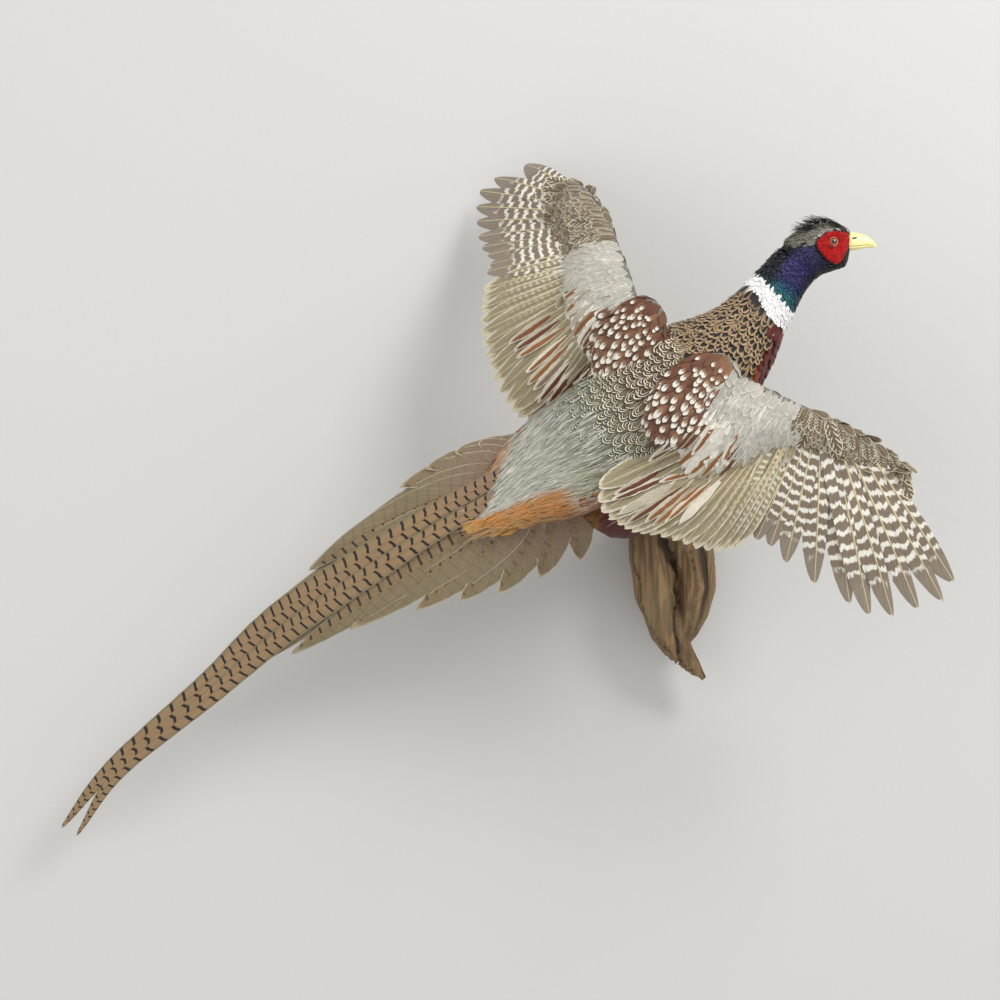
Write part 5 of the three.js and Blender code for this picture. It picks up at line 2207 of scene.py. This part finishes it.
@dataclass
class Head:
    """The head: its short feathers, crest, ear tufts, wattles, eyes and bill."""

    frame: dict
    coat: Coat
    maker: FeatherMaker
    y: float = -0.277
    eye: tuple[float, float] = (0.1560, 0.3026)
    eye_opening: float = 0.0037
    seed: int = 31

    WATTLE = ((139.8, 302), (145.8, 307.8), (150.5, 311.8), (157, 313), (164, 312.8), (171.5, 311),
              (173, 306), (171.5, 300), (168, 292.5), (164.8, 285), (160, 281.4), (153, 284.6),
              (146, 290.5), (141.4, 296.2))
    BILL = ((170, 299.4, 6, 13.5, 4), (177, 299.2, 5.4, 13.8, 3.2), (183, 299.8, 4.6, 12.2, 2.8),
            (190, 300.8, 3.6, 8.6, 2.4), (195, 300.2, 2.4, 5.4, 1.8))

    def build(self) -> None:
        """Builds every part of the head."""
        self.feathers()
        self.crest()
        for side in Side:
            self.ear_tuft(side)
            self.wattle(side)
            self.eyeball(side)
        self.bill()

    def wattle_reach(self, angle: Array) -> Array:
        """How far the wattle's outline lies from the eye at each angle round it.

        Args:
            angle: the angles.

        Returns:
            The distances.
        """
        outline = np.array(self.WATTLE) * MM - np.array(self.eye)
        turn = np.arctan2(outline[:, 1], outline[:, 0])
        order = np.argsort(turn)
        far = np.hypot(*outline.T)[order]
        knots = np.concatenate([turn[order] - math.tau, turn[order], turn[order] + math.tau])
        return np.interp(angle, knots, np.tile(far, 3))

    @staticmethod
    def crowned(points: Array) -> Array:
        """Whether each point lies on the crown, over the line from the nape to the wattle."""
        return (points[:, 0] > 0.106) & (points[:, 2] > 0.3015 + 0.0006 * np.sin(points[:, 0] * 1900))

    def off_wattle(self, points: Array, margin: float = 0.0) -> Array:
        """Whether each point lies outside the wattles, seen from the side."""
        off = points[:, [0, 2]] - np.array(self.eye)
        return np.hypot(*off.T) > self.wattle_reach(np.arctan2(off[:, 1], off[:, 0])) + margin

    def feathers(self) -> None:
        """Short feathers over the head, a little longer on the crown."""
        face = Patch("coat_face", "neck_plumage",
                     Plumage("face_velvet", Mark.PLAIN, rough=0.45, metal=0.25, barbs=20), start=0.410,
                     stop=0.466, low=0.60, high=math.tau - 0.60, row=0.0019, gap=0.0024, length=0.0050,
                     half=0.0016, lift=0.0013, vane=Vane(rows=3, columns=2, tip=0.6))
        crown = Patch("coat_crown", "neck_plumage", Plumage("crown_grey", Mark.PLAIN, rough=0.6, barbs=20),
                      start=0.384, stop=0.466, low=-1.75, high=1.75, row=0.0019, gap=0.0022, length=0.0085,
                      half=0.0013, lift=0.0024, vane=Vane(rows=4, columns=2, tip=0.8, point=0.7))
        brow = Patch("coat_brow", "neck_plumage", Plumage("brow_pale", Mark.PLAIN, rough=0.6, barbs=20),
                     start=0.416, stop=0.462, low=-1.75, high=1.75, row=0.0013, gap=0.0015, length=0.0048,
                     half=0.0007, lift=0.0026, vane=Vane(rows=3, columns=2, tip=0.8, point=0.7))

        def gloss(run: Array, angle: Array) -> Colours:
            """The face's black-green.

            Args:
                run: distances along the spine.
                angle: angles from the back.

            Returns:
                Their ground, mark and fringe.
            """
            turned = (angle + math.pi) % math.tau - math.pi
            shade = self.coat.plumages.neck(run, turned)
            shade = mixed(shade, Colour.NAPE, 0.55 * eased(run, 0.425, 0.440))
            return shade, shade, mixed(shade, Colour.NAPE, 0.5)

        def grey(run: Array, angle: Array) -> Colours:
            """The crown's grey-olive, with darker streaks and black over the bill.

            Args:
                run: distances along the spine.
                angle: angles from the back.

            Returns:
                Their ground, mark and fringe.
            """
            rng = np.random.default_rng(3)
            shade = mixed(Colour.CROWN, Colour.NAPE, eased(run, 0.449, 0.457))
            shade = mixed(shade, Colour.CREST, 0.7 * (rng.random(len(run)) < 0.25))
            return shade, shade, mixed(shade, Colour.CROWN_PALE, 0.15)

        clear = lambda run, angle, points: self.off_wattle(points, 0.0004) & ~self.crowned(points)
        top = lambda run, angle, points: self.off_wattle(points, 0.0004) & self.crowned(points)
        line = lambda run, angle, points: top(run, angle, points) & ~self.off_wattle(points, 0.0019) & (
            points[:, 2] > 0.3055) & (points[:, 0] < 0.166)
        pale = dyed(Colour.CROWN_PALE, Colour.CROWN_PALE, Colour.CROWN_PALE)
        self.coat.grow(brow, pale, line)
        self.coat.grow(face, gloss, clear)
        self.coat.grow(crown, grey, top)

    def sprays(self, name: str, finish: Plumage, roots: Array, ways: Array, length: Array, half: float,
               shade: Array, nodes: Sequence[str]) -> None:
        """Builds free-standing narrow feathers that curl back a little.

        Args:
            name: the piece's name.
            finish: their material.
            roots: where they grow.
            ways: the way each one points.
            length: each one's length.
            half: their half width.
            shade: each one's colour.
            nodes: the CAD nodes that they stand for.
        """
        vane = Vane(rows=6, columns=2, tip=0.8, point=0.8, base=0.5, fray=0.0)
        v = vane.spots()
        out = unit(np.cross(np.cross(ways, (0.0, 0.0, 1.0)), ways))
        sag = -0.12 * length[:, None, None] * (v**2)[None, :, None] * out[:, None, :]
        path = roots[:, None, :] + ways[:, None, :] * (length[:, None] * v)[..., None] + sag
        plumes = Plumes(path, np.repeat(out[:, None], len(v), 1), np.full(len(roots), half), shade, shade,
                        mixed(shade, Colour.CROWN_PALE, 0.18), columns(len(roots)))
        item = self.maker.piece(name, vane, plumes, finish, "neck_plumage")
        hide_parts(*nodes)

    def crest(self) -> None:
        """Ruffled dark feathers that stand along the crown."""
        rng = np.random.default_rng(self.seed)
        count = 170
        share = rng.uniform(0, 1, count)
        line = curve(np.array(((0.168, self.y, 0.3205), (0.157, self.y, 0.3250), (0.143, self.y, 0.3245),
                               (0.131, self.y, 0.3165))), share)
        offset = rng.normal(0, 0.0034, count)
        roots = line + np.stack([np.zeros(count), offset, -np.abs(offset) * 0.45 - 0.0015], -1)
        lift = rng.uniform(0.20, 0.85, count)
        ways = unit(np.stack([-np.ones(count), offset * 40 + rng.normal(0, 0.12, count),
                              lift - 0.25 * share], -1))
        length = rng.uniform(0.009, 0.017, count)
        dark = rng.uniform(0, 1, count)
        shade = mixed(Colour.NAPE, Colour.CREST, 0.9 * (dark > 0.35))
        self.sprays("crest_feathers", Plumage("crest_dark", Mark.PLAIN, barbs=20), roots, ways, length,
                    0.0011, shade, ("crest",))

    def ear_tuft(self, side: Side) -> None:
        """A dark pointed tuft over the ear.

        Args:
            side: the bird's right or left.
        """
        rng = np.random.default_rng(self.seed + 1)
        count = 26
        root = np.array((0.137, self.y + side.sign * 0.0110, 0.3188))
        tip = np.array((0.1190, self.y + side.sign * 0.0135, 0.3165))
        roots = root + rng.normal(0, 1, (count, 3)) * np.array((0.0022, 0.0008, 0.0012))
        ways = unit(unit(tip - root) + rng.normal(0, 0.07, (count, 3)))
        length = np.linalg.norm(tip - root) * rng.uniform(0.6, 1.0, count)
        self.sprays(f"ear_tuft_{side.value}_feathers",
                    Plumage("ear_dark_" + side.value, Mark.PLAIN, barbs=20),
                    roots, ways, length, 0.0010, colours(Colour.NAPE, count), (f"ear_tuft_{side.value}",))

    def wattle(self, side: Side) -> None:
        """Bare red skin round the eye, covered in fine warts.

        Args:
            side: the bird's right or left.
        """
        rng = np.random.default_rng(self.seed + 2)
        around, deep = 300, 52
        angle = np.linspace(-math.pi, math.pi, around, endpoint=False)
        share = np.linspace(0, 1, deep) ** 0.9
        edge = self.wattle_reach(angle)
        edge = np.convolve(np.tile(edge, 3), np.ones(9) / 9, "same")[around:2 * around]
        radius = self.eye_opening + (edge - self.eye_opening)[None, :] * share[:, None]
        flat = np.stack([np.cos(angle) * radius, np.sin(angle) * radius], -1) + np.array(self.eye)
        places = flat.reshape(-1, 2)
        flesh = self.side_faces(places, side, (f"wattle_{side.value}", "head"))
        base = self.eased_rings(flesh.reshape(deep, around))
        warts = self.warts(places, rng).reshape(deep, around)
        fade = eased(share, 0.0, 0.12) * (1 - 0.8 * eased(share, 0.93, 1.0))
        swell = 0.0006 * np.sin(math.pi * np.clip(share, 0, 1)) - 0.0022 * eased(share, 0.95, 1.0)
        height = warts * fade[:, None] * 0.00080 + swell[:, None]
        top = np.stack([flat[..., 0], base + side.sign * height, flat[..., 1]], -1)
        under = [top[row] - np.array((0, side.sign * sink, 0)) for row, sink in ((0, 0.0030), (-1, 0.0015))]
        rings = np.concatenate([under[0][None], top, under[1][None]])
        count = len(rings)
        index = np.arange(count * around).reshape(count, around)
        faces = walls(index, np.roll(index, -1, axis=0))
        if side.sign > 0:
            faces = faces[:, ::-1]
        item = new_mesh(f"wattle_{side.value}_skin", rings.reshape(-1, 3), faces)
        tall = np.concatenate([np.zeros((1, around)), warts, np.zeros((1, around))]).ravel()
        spot = rings.reshape(-1, 3)[:, [0, 2]] - (np.array(self.eye) + (-0.0028, -0.0052))
        dots = np.exp(-(spot[:, 0] / 0.0042) ** 2 - (spot[:, 1] / 0.0021) ** 2)
        note(item, "tall", tall)
        note(item, "dots", dots)
        item.data.materials.append(self.wattle_finish(side))
        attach(item, BODY)
        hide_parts(f"wattle_{side.value}")
        LOG.info("wattle_%s: %d triangles", side.value, len(faces))

    def side_faces(self, flat: Array, side: Side, nodes: Sequence[str]) -> Array:
        """How far out the head's side lies at each place, seen from the side.

        Args:
            flat: the places, by their x and z.
            side: the side of the head.
            nodes: the solids that make up its surface.

        Returns:
            The surface's y at each place.
        """
        tree = tree_of(*(self.frame["nodes"][n] for n in nodes))
        starts = np.stack([flat[:, 0], np.full(len(flat), self.y + side.sign * 0.05), flat[:, 1]], -1)
        reach = cast(tree, starts, np.array((0, -side.sign, 0)), 0.049)[0][:, 1]
        gaps = np.isnan(reach)
        reach[gaps] = np.interp(np.flatnonzero(gaps), np.flatnonzero(~gaps), reach[~gaps])
        return reach

    @staticmethod
    def eased_rings(base: Array) -> Array:
        """Takes the facets out of a surface read ring by ring.

        Args:
            base: the surface's height, ring by ring.

        Returns:
            The smoothed heights.
        """
        for _ in range(12):
            padded = np.concatenate([base[:1], base, base[-1:]])
            base = 0.25 * (np.roll(base, 1, 1) + np.roll(base, -1, 1)) + 0.25 * (padded[:-2] + padded[2:])
        return base

    @staticmethod
    def warts(flat: Array, rng: np.random.Generator) -> Array:
        """The relief of close-set warts of uneven size, 0 to 1.

        Args:
            flat: the places, seen from the side.
            rng: the source of chance.

        Returns:
            The height at each place.
        """
        pitch = 0.00105
        low, high = flat.min(0) - pitch, flat.max(0) + pitch
        xs, zs = (np.arange(low[k], high[k], pitch) for k in (0, 1))
        grid = np.stack(np.meshgrid(xs, zs, indexing="ij"), -1)
        grid[:, ::2, 0] += pitch / 2
        heads = grid.reshape(-1, 2) + rng.normal(0, 0.16 * pitch, (grid.size // 2, 2))
        size = rng.uniform(0.42, 0.62, len(heads)) * pitch
        best = np.zeros(len(flat))
        for block in np.array_split(np.arange(len(flat)), 40):
            far = np.linalg.norm(flat[block][:, None] - heads[None], axis=-1) / size[None]
            best[block] = np.sqrt(np.clip(1 - far**2, 0, None)).max(1)
        return best

    def wattle_finish(self, side: Side) -> bpy.types.Material:
        """Saturated red, with painted shade between the warts, and a few black bristles' dots.

        Args:
            side: the bird's right or left.

        Returns:
            The material.
        """
        sheet = Sheet("wattle_red_" + side.value)
        cloud = sheet.noise(sheet.place(), 120.0, 3.0)
        red = cloud.step(0.3, 0.7).mix(tone(168, 3, 6), tone(206, 8, 10))
        # painted shade: the red is darker where the warts are low
        red = sheet.number("tall").step(0.0, 0.6).mix(tone(96, 3, 6), red)
        dots = sheet.noise(sheet.place(), 620.0, 2.0).step(0.47, 0.52) * sheet.number("dots").step(0.25, 0.5)
        return sheet.set(Base_Color=dots.mix(red, Colour.BLACK), Roughness=0.48, Subsurface_Weight=0.03,
                         Subsurface_Scale=0.002, Specular_IOR_Level=0.3)

    def eyeball(self, side: Side) -> None:
        """A glass eye with a brown iris, set in a thin ring of lid.

        Args:
            side: the bird's right or left.
        """
        low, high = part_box(f"eye_{side.value}")
        middle, radius = (low + high) / 2, (high.x - low.x) / 2
        ball = primitive(f"eye_{side.value}_glass", bpy.ops.mesh.primitive_uv_sphere_add, segments=48,
                         ring_count=32, radius=radius, rotation=(side.sign * math.pi / 2, 0, 0))
        move_to(ball, coordinates(ball) * 0.985 + np.array(middle))
        ball.data.materials.append(self.eye_finish(side, middle))
        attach(ball, BODY)
        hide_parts(f"eye_{side.value}")
        lid = primitive(f"eyelid_{side.value}", bpy.ops.mesh.primitive_torus_add, major_segments=64,
                        minor_segments=16, major_radius=self.eye_opening + 0.0003, minor_radius=0.00062,
                        rotation=(math.pi / 2, 0, 0))
        ring = coordinates(lid)
        rim = ring + np.array((self.eye[0], 0, self.eye[1]))
        deep = self.side_faces(rim[:, [0, 2]], side, (f"wattle_{side.value}", "head", f"eye_{side.value}"))
        rim[:, 1] = float(np.median(deep)) + ring[:, 1] + side.sign * 0.0001
        move_to(lid, rim)
        skin = Sheet("eyelid_" + side.value).set(Base_Color=tone(176, 120, 84), Roughness=0.45)
        lid.data.materials.append(skin)
        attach(lid, BODY)
        LOG.info("eye_%s: radius %.1f mm", side.value, radius / MM)

    def eye_finish(self, side: Side, middle: Vector) -> bpy.types.Material:
        """Rings of pupil, iris and dark rim under a wet gloss.

        Args:
            side: the bird's right or left.
            middle: the eyeball's middle.

        Returns:
            The material.
        """
        sheet = Sheet("eye_glass_" + side.value)
        place = sheet.place()
        across, up = sheet.part(place, 0) - middle.x, sheet.part(place, 2) - middle.z
        far = (across * across + up * up).maths("SQRT")
        iris = sheet.noise(place, 900.0, 2.0).step(0.3, 0.7).mix(tone(132, 70, 26), tone(190, 112, 48))
        iris = far.step(0.0026, 0.0036).mix(iris, tone(70, 34, 16))
        return sheet.set(Base_Color=far.step(0.00165, 0.00195).mix(tone(6, 5, 5), iris), Roughness=0.12,
                         Coat_Weight=1.0, Coat_Roughness=0.02)

    def bill(self) -> None:
        """A pale horn bill with a hooked tip and slit nostrils."""
        table = np.array(self.BILL) * MM
        share = np.linspace(0, 1, 22)
        x, z, wide, ridge, jaw = (curve(table[:, k], share) for k in range(5))
        around = 28
        turn = np.linspace(0, math.tau, around, endpoint=False)
        gape = 0.00018
        for name, node, tip, sign, height in (
                ("bill_upper_horn", "bill_upper", (0.1994, 0.2986), 1, ridge),
                ("bill_lower_horn", "bill_lower", (0.1966, 0.3002), -1, jaw)):
            rings = []
            for k in range(len(share)):
                rise = np.maximum(np.sin(turn) * sign, -0.02) * height[k]
                y = np.cos(turn) * wide[k] * np.where(np.sin(turn) * sign > 0, 1.0, 0.94)
                rings.append(np.stack([np.full(around, x[k]), self.y + y, z[k] + sign * (gape + rise)], -1))
            end = rings[-1]
            point = np.array((tip[0], self.y, tip[1]))
            middle = end.mean(0)
            for part in (0.45, 0.75, 0.92):
                rings.append(middle + (point - middle) * part + (end - middle) * math.sqrt(1 - part**2))
            item = lofted(name, np.array(rings))
            edge = np.tile(1 - np.abs(np.sin(turn)), len(rings))
            note(item, "gape", np.concatenate([edge, np.zeros(2)]))
            item.data.materials.append(self.bill_finish(name))
            item.data.set_sharp_from_angle(angle=math.radians(55))
            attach(item, BODY)
            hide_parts(node)
        self.nostrils()

    def nostrils(self) -> None:
        """Two dark slits at the bill's root, painted shade in place of the nostrils' openings."""
        for side in Side:
            slit = primitive(f"nostril_{side.value}", bpy.ops.mesh.primitive_uv_sphere_add, segments=20,
                             ring_count=12, radius=1.0)
            points = coordinates(slit) * np.array((0.0026, 0.0007, 0.0008))
            points[:, 2] += points[:, 0] * 0.22
            move_to(slit, points + np.array((0.1775, self.y + side.sign * 0.00475, 0.3072)))
            # painted shade: the slit is a dark body in place of the shade inside the nostril
            dark = Sheet(slit.name + "_dark").set(Base_Color=tone(70, 56, 36), Roughness=0.6)
            slit.data.materials.append(dark)
            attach(slit, BODY)

    @staticmethod
    def bill_finish(name: str) -> bpy.types.Material:
        """Pale yellow horn, a little darker and greyer at the root, with painted shade along the gape.

        Args:
            name: the piece's name.

        Returns:
            The material.
        """
        sheet = Sheet(name + "_finish")
        place = sheet.place()
        grain = sheet.noise(sheet.value("Mapping", place, None, None, (90.0, 500.0, 500.0)), 1.0, 3.0)
        horn = grain.step(0.3, 0.7).mix(tone(238, 226, 142), tone(250, 242, 170))
        horn = sheet.part(place, 0).step(0.176, 0.168).mix(horn, tone(216, 202, 138))
        # painted shade: a dark band along the gape, where the mandibles meet
        horn = sheet.number("gape").step(0.955, 0.985).mix(horn, tone(92, 76, 40))
        sheet.bump(grain, 0.15, 0.0002)
        return sheet.set(Base_Color=horn, Roughness=0.34, Coat_Weight=0.25, Coat_Roughness=0.2)


# ------------------------------------------------------------------ legs, wood and room


@dataclass
class Legs:
    """Scaled shanks and feet, drawn up under the tail."""

    frame: dict

    def build(self) -> None:
        """Rounds each shank and foot and covers it with scales."""
        finish = self.finish()
        for side in Side:
            for part in ("shank", "foot"):
                node = f"{part}_{side.value}"
                item = merged_copy(node + "_scaled", (node,), self.frame)
                applied(item, "SUBSURF", levels=2, render_levels=2)
                only(item)
                bpy.ops.object.shade_smooth()
                item.data.materials.append(finish)
                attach(item, BODY)
                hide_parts(node)
        LOG.info("legs: 4 pieces")

    @staticmethod
    def finish() -> bpy.types.Material:
        """Grey horn scutes with dark joints.

        Returns:
            The material.
        """
        sheet = Sheet("leg_scutes")
        cells = sheet.value("TexVoronoi", sheet.place(), None, 420.0, feature="DISTANCE_TO_EDGE")
        line = cells.step(0.02, 0.16)
        sheet.bump(line, 0.6, 0.0006)
        return sheet.set(Base_Color=line.mix(tone(52, 46, 38), tone(118, 108, 90)), Roughness=0.5)


@dataclass
class Driftwood:
    """The weathered branch that carries the bird, flat where it meets the wall."""

    frame: dict
    voxel: float = 0.0020
    seed: int = 41

    def build(self) -> None:
        """Carves flutes and cracks along the grain of the solid branch."""
        wood = merged_copy("driftwood_grained", ("driftwood",), self.frame)
        applied(wood, "REMESH", mode="VOXEL", voxel_size=self.voxel, use_smooth_shade=True)
        applied(wood, "SMOOTH", factor=0.5, iterations=6)
        points, lean = coordinates(wood), normals(wood)
        free = eased(-points[:, 1], 0.001, 0.008)
        depth = self.flutes(points) * free
        move_to(wood, points + lean * depth[:, None])
        points = coordinates(wood)
        points[:, 1] = np.minimum(points[:, 1], -0.0001)
        move_to(wood, points)
        note(wood, "deep", depth / 0.003)
        wood.data.materials.append(self.finish())
        only(wood)
        bpy.ops.object.shade_smooth()
        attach(wood, BODY)
        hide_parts("driftwood")
        LOG.info("driftwood: %d faces", len(wood.data.polygons))

    def flutes(self, points: Array) -> Array:
        """How far each point of the wood rises, from long ridges and a few cracks.

        Args:
            points: the points.

        Returns:
            The rise of each.
        """
        rng = np.random.default_rng(self.seed)
        turn = np.arctan2(points[:, 0] - 0.022, -(points[:, 1] + 0.040))
        wander = 0.35 * np.sin(points[:, 2] * 26 + 1.3) + 0.18 * np.sin(points[:, 2] * 61)
        total = np.zeros(len(points))
        for count, size in ((5, 0.0020), (9, 0.0013), (17, 0.0008), (31, 0.0004)):
            phase = rng.uniform(0, math.tau)
            total += size * np.sin(count * (turn + wander / math.sqrt(count)) + phase
                                   + points[:, 2] * rng.uniform(-30, 30))
        crack = np.abs(np.sin(3.5 * (turn + wander * 0.6) + 0.4))
        total -= 0.0034 * (1 - eased(crack, 0.0, 0.09))
        return total - 0.0012

    @staticmethod
    def finish() -> bpy.types.Material:
        """Brown wood with long grain, tan on the ridges and darkened by painted shade in the cracks.

        Returns:
            The material.
        """
        sheet = Sheet("driftwood_grain")
        place, deep = sheet.place(), sheet.number("deep")
        fibres = sheet.value("Mapping", place, None, (0.0, 0.15, 0.0), (260.0, 260.0, 14.0))
        grain = sheet.noise(fibres, 1.0, 5.0)
        shade = grain.step(0.32, 0.68).mix(tone(96, 74, 50), tone(142, 114, 80))
        shade = sheet.noise(place, 22.0, 3.0).step(0.42, 0.70).mix(shade, tone(124, 108, 78))
        # painted shade: the cracks are darkened by their depth
        shade = deep.step(-0.5, -1.5).mix(shade, tone(64, 49, 34))
        shade = deep.step(0.35, 1.1).mix(shade, tone(158, 132, 94))
        sheet.bump(grain, 0.6, 0.0012)
        return sheet.set(Base_Color=shade, Roughness=0.78)


@dataclass
class Room:
    """A pale wall behind the mount, soft lamps and the camera."""

    aim: tuple[float, float, float] = (-0.161, -3.235, 0.057)
    lens: float = 111.34

    def build(self) -> None:
        """Sets up the camera, the wall, the lamps and the world."""
        self.camera()
        self.wall()
        self.lamps()
        self.world()
        bpy.context.scene.view_settings.view_transform = "Standard"

    def camera(self) -> None:
        """A long lens straight in front of the wall."""
        bpy.ops.object.camera_add(location=self.aim, rotation=(math.pi / 2, 0, 0))
        camera = bpy.context.view_layer.objects.active
        camera.data.lens = self.lens
        camera.data.sensor_width = 36.0
        bpy.context.scene.camera = camera

    def wall(self) -> None:
        """A plain wall that is only there from its front."""
        bpy.ops.mesh.primitive_plane_add(size=6.0, location=(-0.16, 0.0012, 0.06),
                                         rotation=(math.pi / 2, 0, 0))
        wall = bpy.context.view_layer.objects.active
        wall.name = "wall"
        sheet = Sheet("wall_plaster")
        sheet.bump(sheet.noise(sheet.place(), 180.0, 4.0), 0.12, 0.0015)
        back, clear = sheet.value("NewGeometry", output="Backfacing"), sheet.value("BsdfTransparent")
        pick = sheet.value("MixShader", back, Value(sheet, sheet.shader.outputs[0]), clear)
        output = next(n for n in sheet.tree.nodes if n.type == "OUTPUT_MATERIAL")
        sheet.feed(output.inputs["Surface"], pick)
        wall.data.materials.append(sheet.set(Base_Color=tone(214, 213, 210), Roughness=0.9))

    def lamps(self) -> None:
        """A broad soft key from the upper right and a weak fill from the left."""
        for name, spot, size, power in (("key", (1.35, -2.0, 1.75), 1.1, 42.0),
                                        ("fill", (-2.0, -1.9, 0.4), 1.6, 9.0),
                                        ("behind", (0.4, 2.4, 0.9), 1.6, 10.0)):
            bpy.ops.object.light_add(type="AREA", location=spot)
            lamp = bpy.context.view_layer.objects.active
            lamp.name = name
            lamp.data.size = size
            lamp.data.energy = power
            aim = Vector((-0.1, -0.2, 0.08)) - Vector(spot)
            lamp.rotation_euler = aim.to_track_quat("-Z", "Y").to_euler()

    def world(self) -> None:
        """Even light from all round, and a pale background."""
        world = bpy.data.worlds.new("studio")
        bpy.context.scene.world = world
        world.use_nodes = True
        tree = world.node_tree
        tree.nodes.clear()
        kinds = ("Background", "Background", "LightPath", "MixShader", "OutputWorld")
        light, show, path, mix, out = (tree.nodes.new("ShaderNode" + kind) for kind in kinds)
        for node, shade, strength in ((light, (1.0, 1.0, 1.0), 0.72), (show, tone(222, 221, 218), 1.0)):
            node.inputs[0].default_value = (*shade, 1)
            node.inputs[1].default_value = strength
        for index, source in enumerate((path.outputs["Is Camera Ray"], light.outputs[0], show.outputs[0])):
            tree.links.new(source, mix.inputs[index])
        tree.links.new(mix.outputs[0], out.inputs[0])


def main() -> None:
    """Builds the room, the skin and every piece of the mount."""
    logging.basicConfig(level=logging.INFO, format="%(message)s")
    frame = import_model()
    Room().build()
    spine = Spine()
    LOG.info("spine: %.3f m long", spine.length)
    plumages = Plumages(spine)
    skin = Skin(frame, spine, plumages)
    skin.build()
    LOG.info("skin: %d faces", len(skin.item.data.polygons))
    maker = FeatherMaker()
    coat = Coat(skin, spine, plumages, maker)
    coat.build()
    for side in Side:
        Wing(side, frame, coat, maker).build()
    coat.fill()
    Tail(frame, maker).build()
    Head(frame, coat, maker).build()
    Legs(frame).build()
    Driftwood(frame).build()


if __name__ == "__main__":
    main()
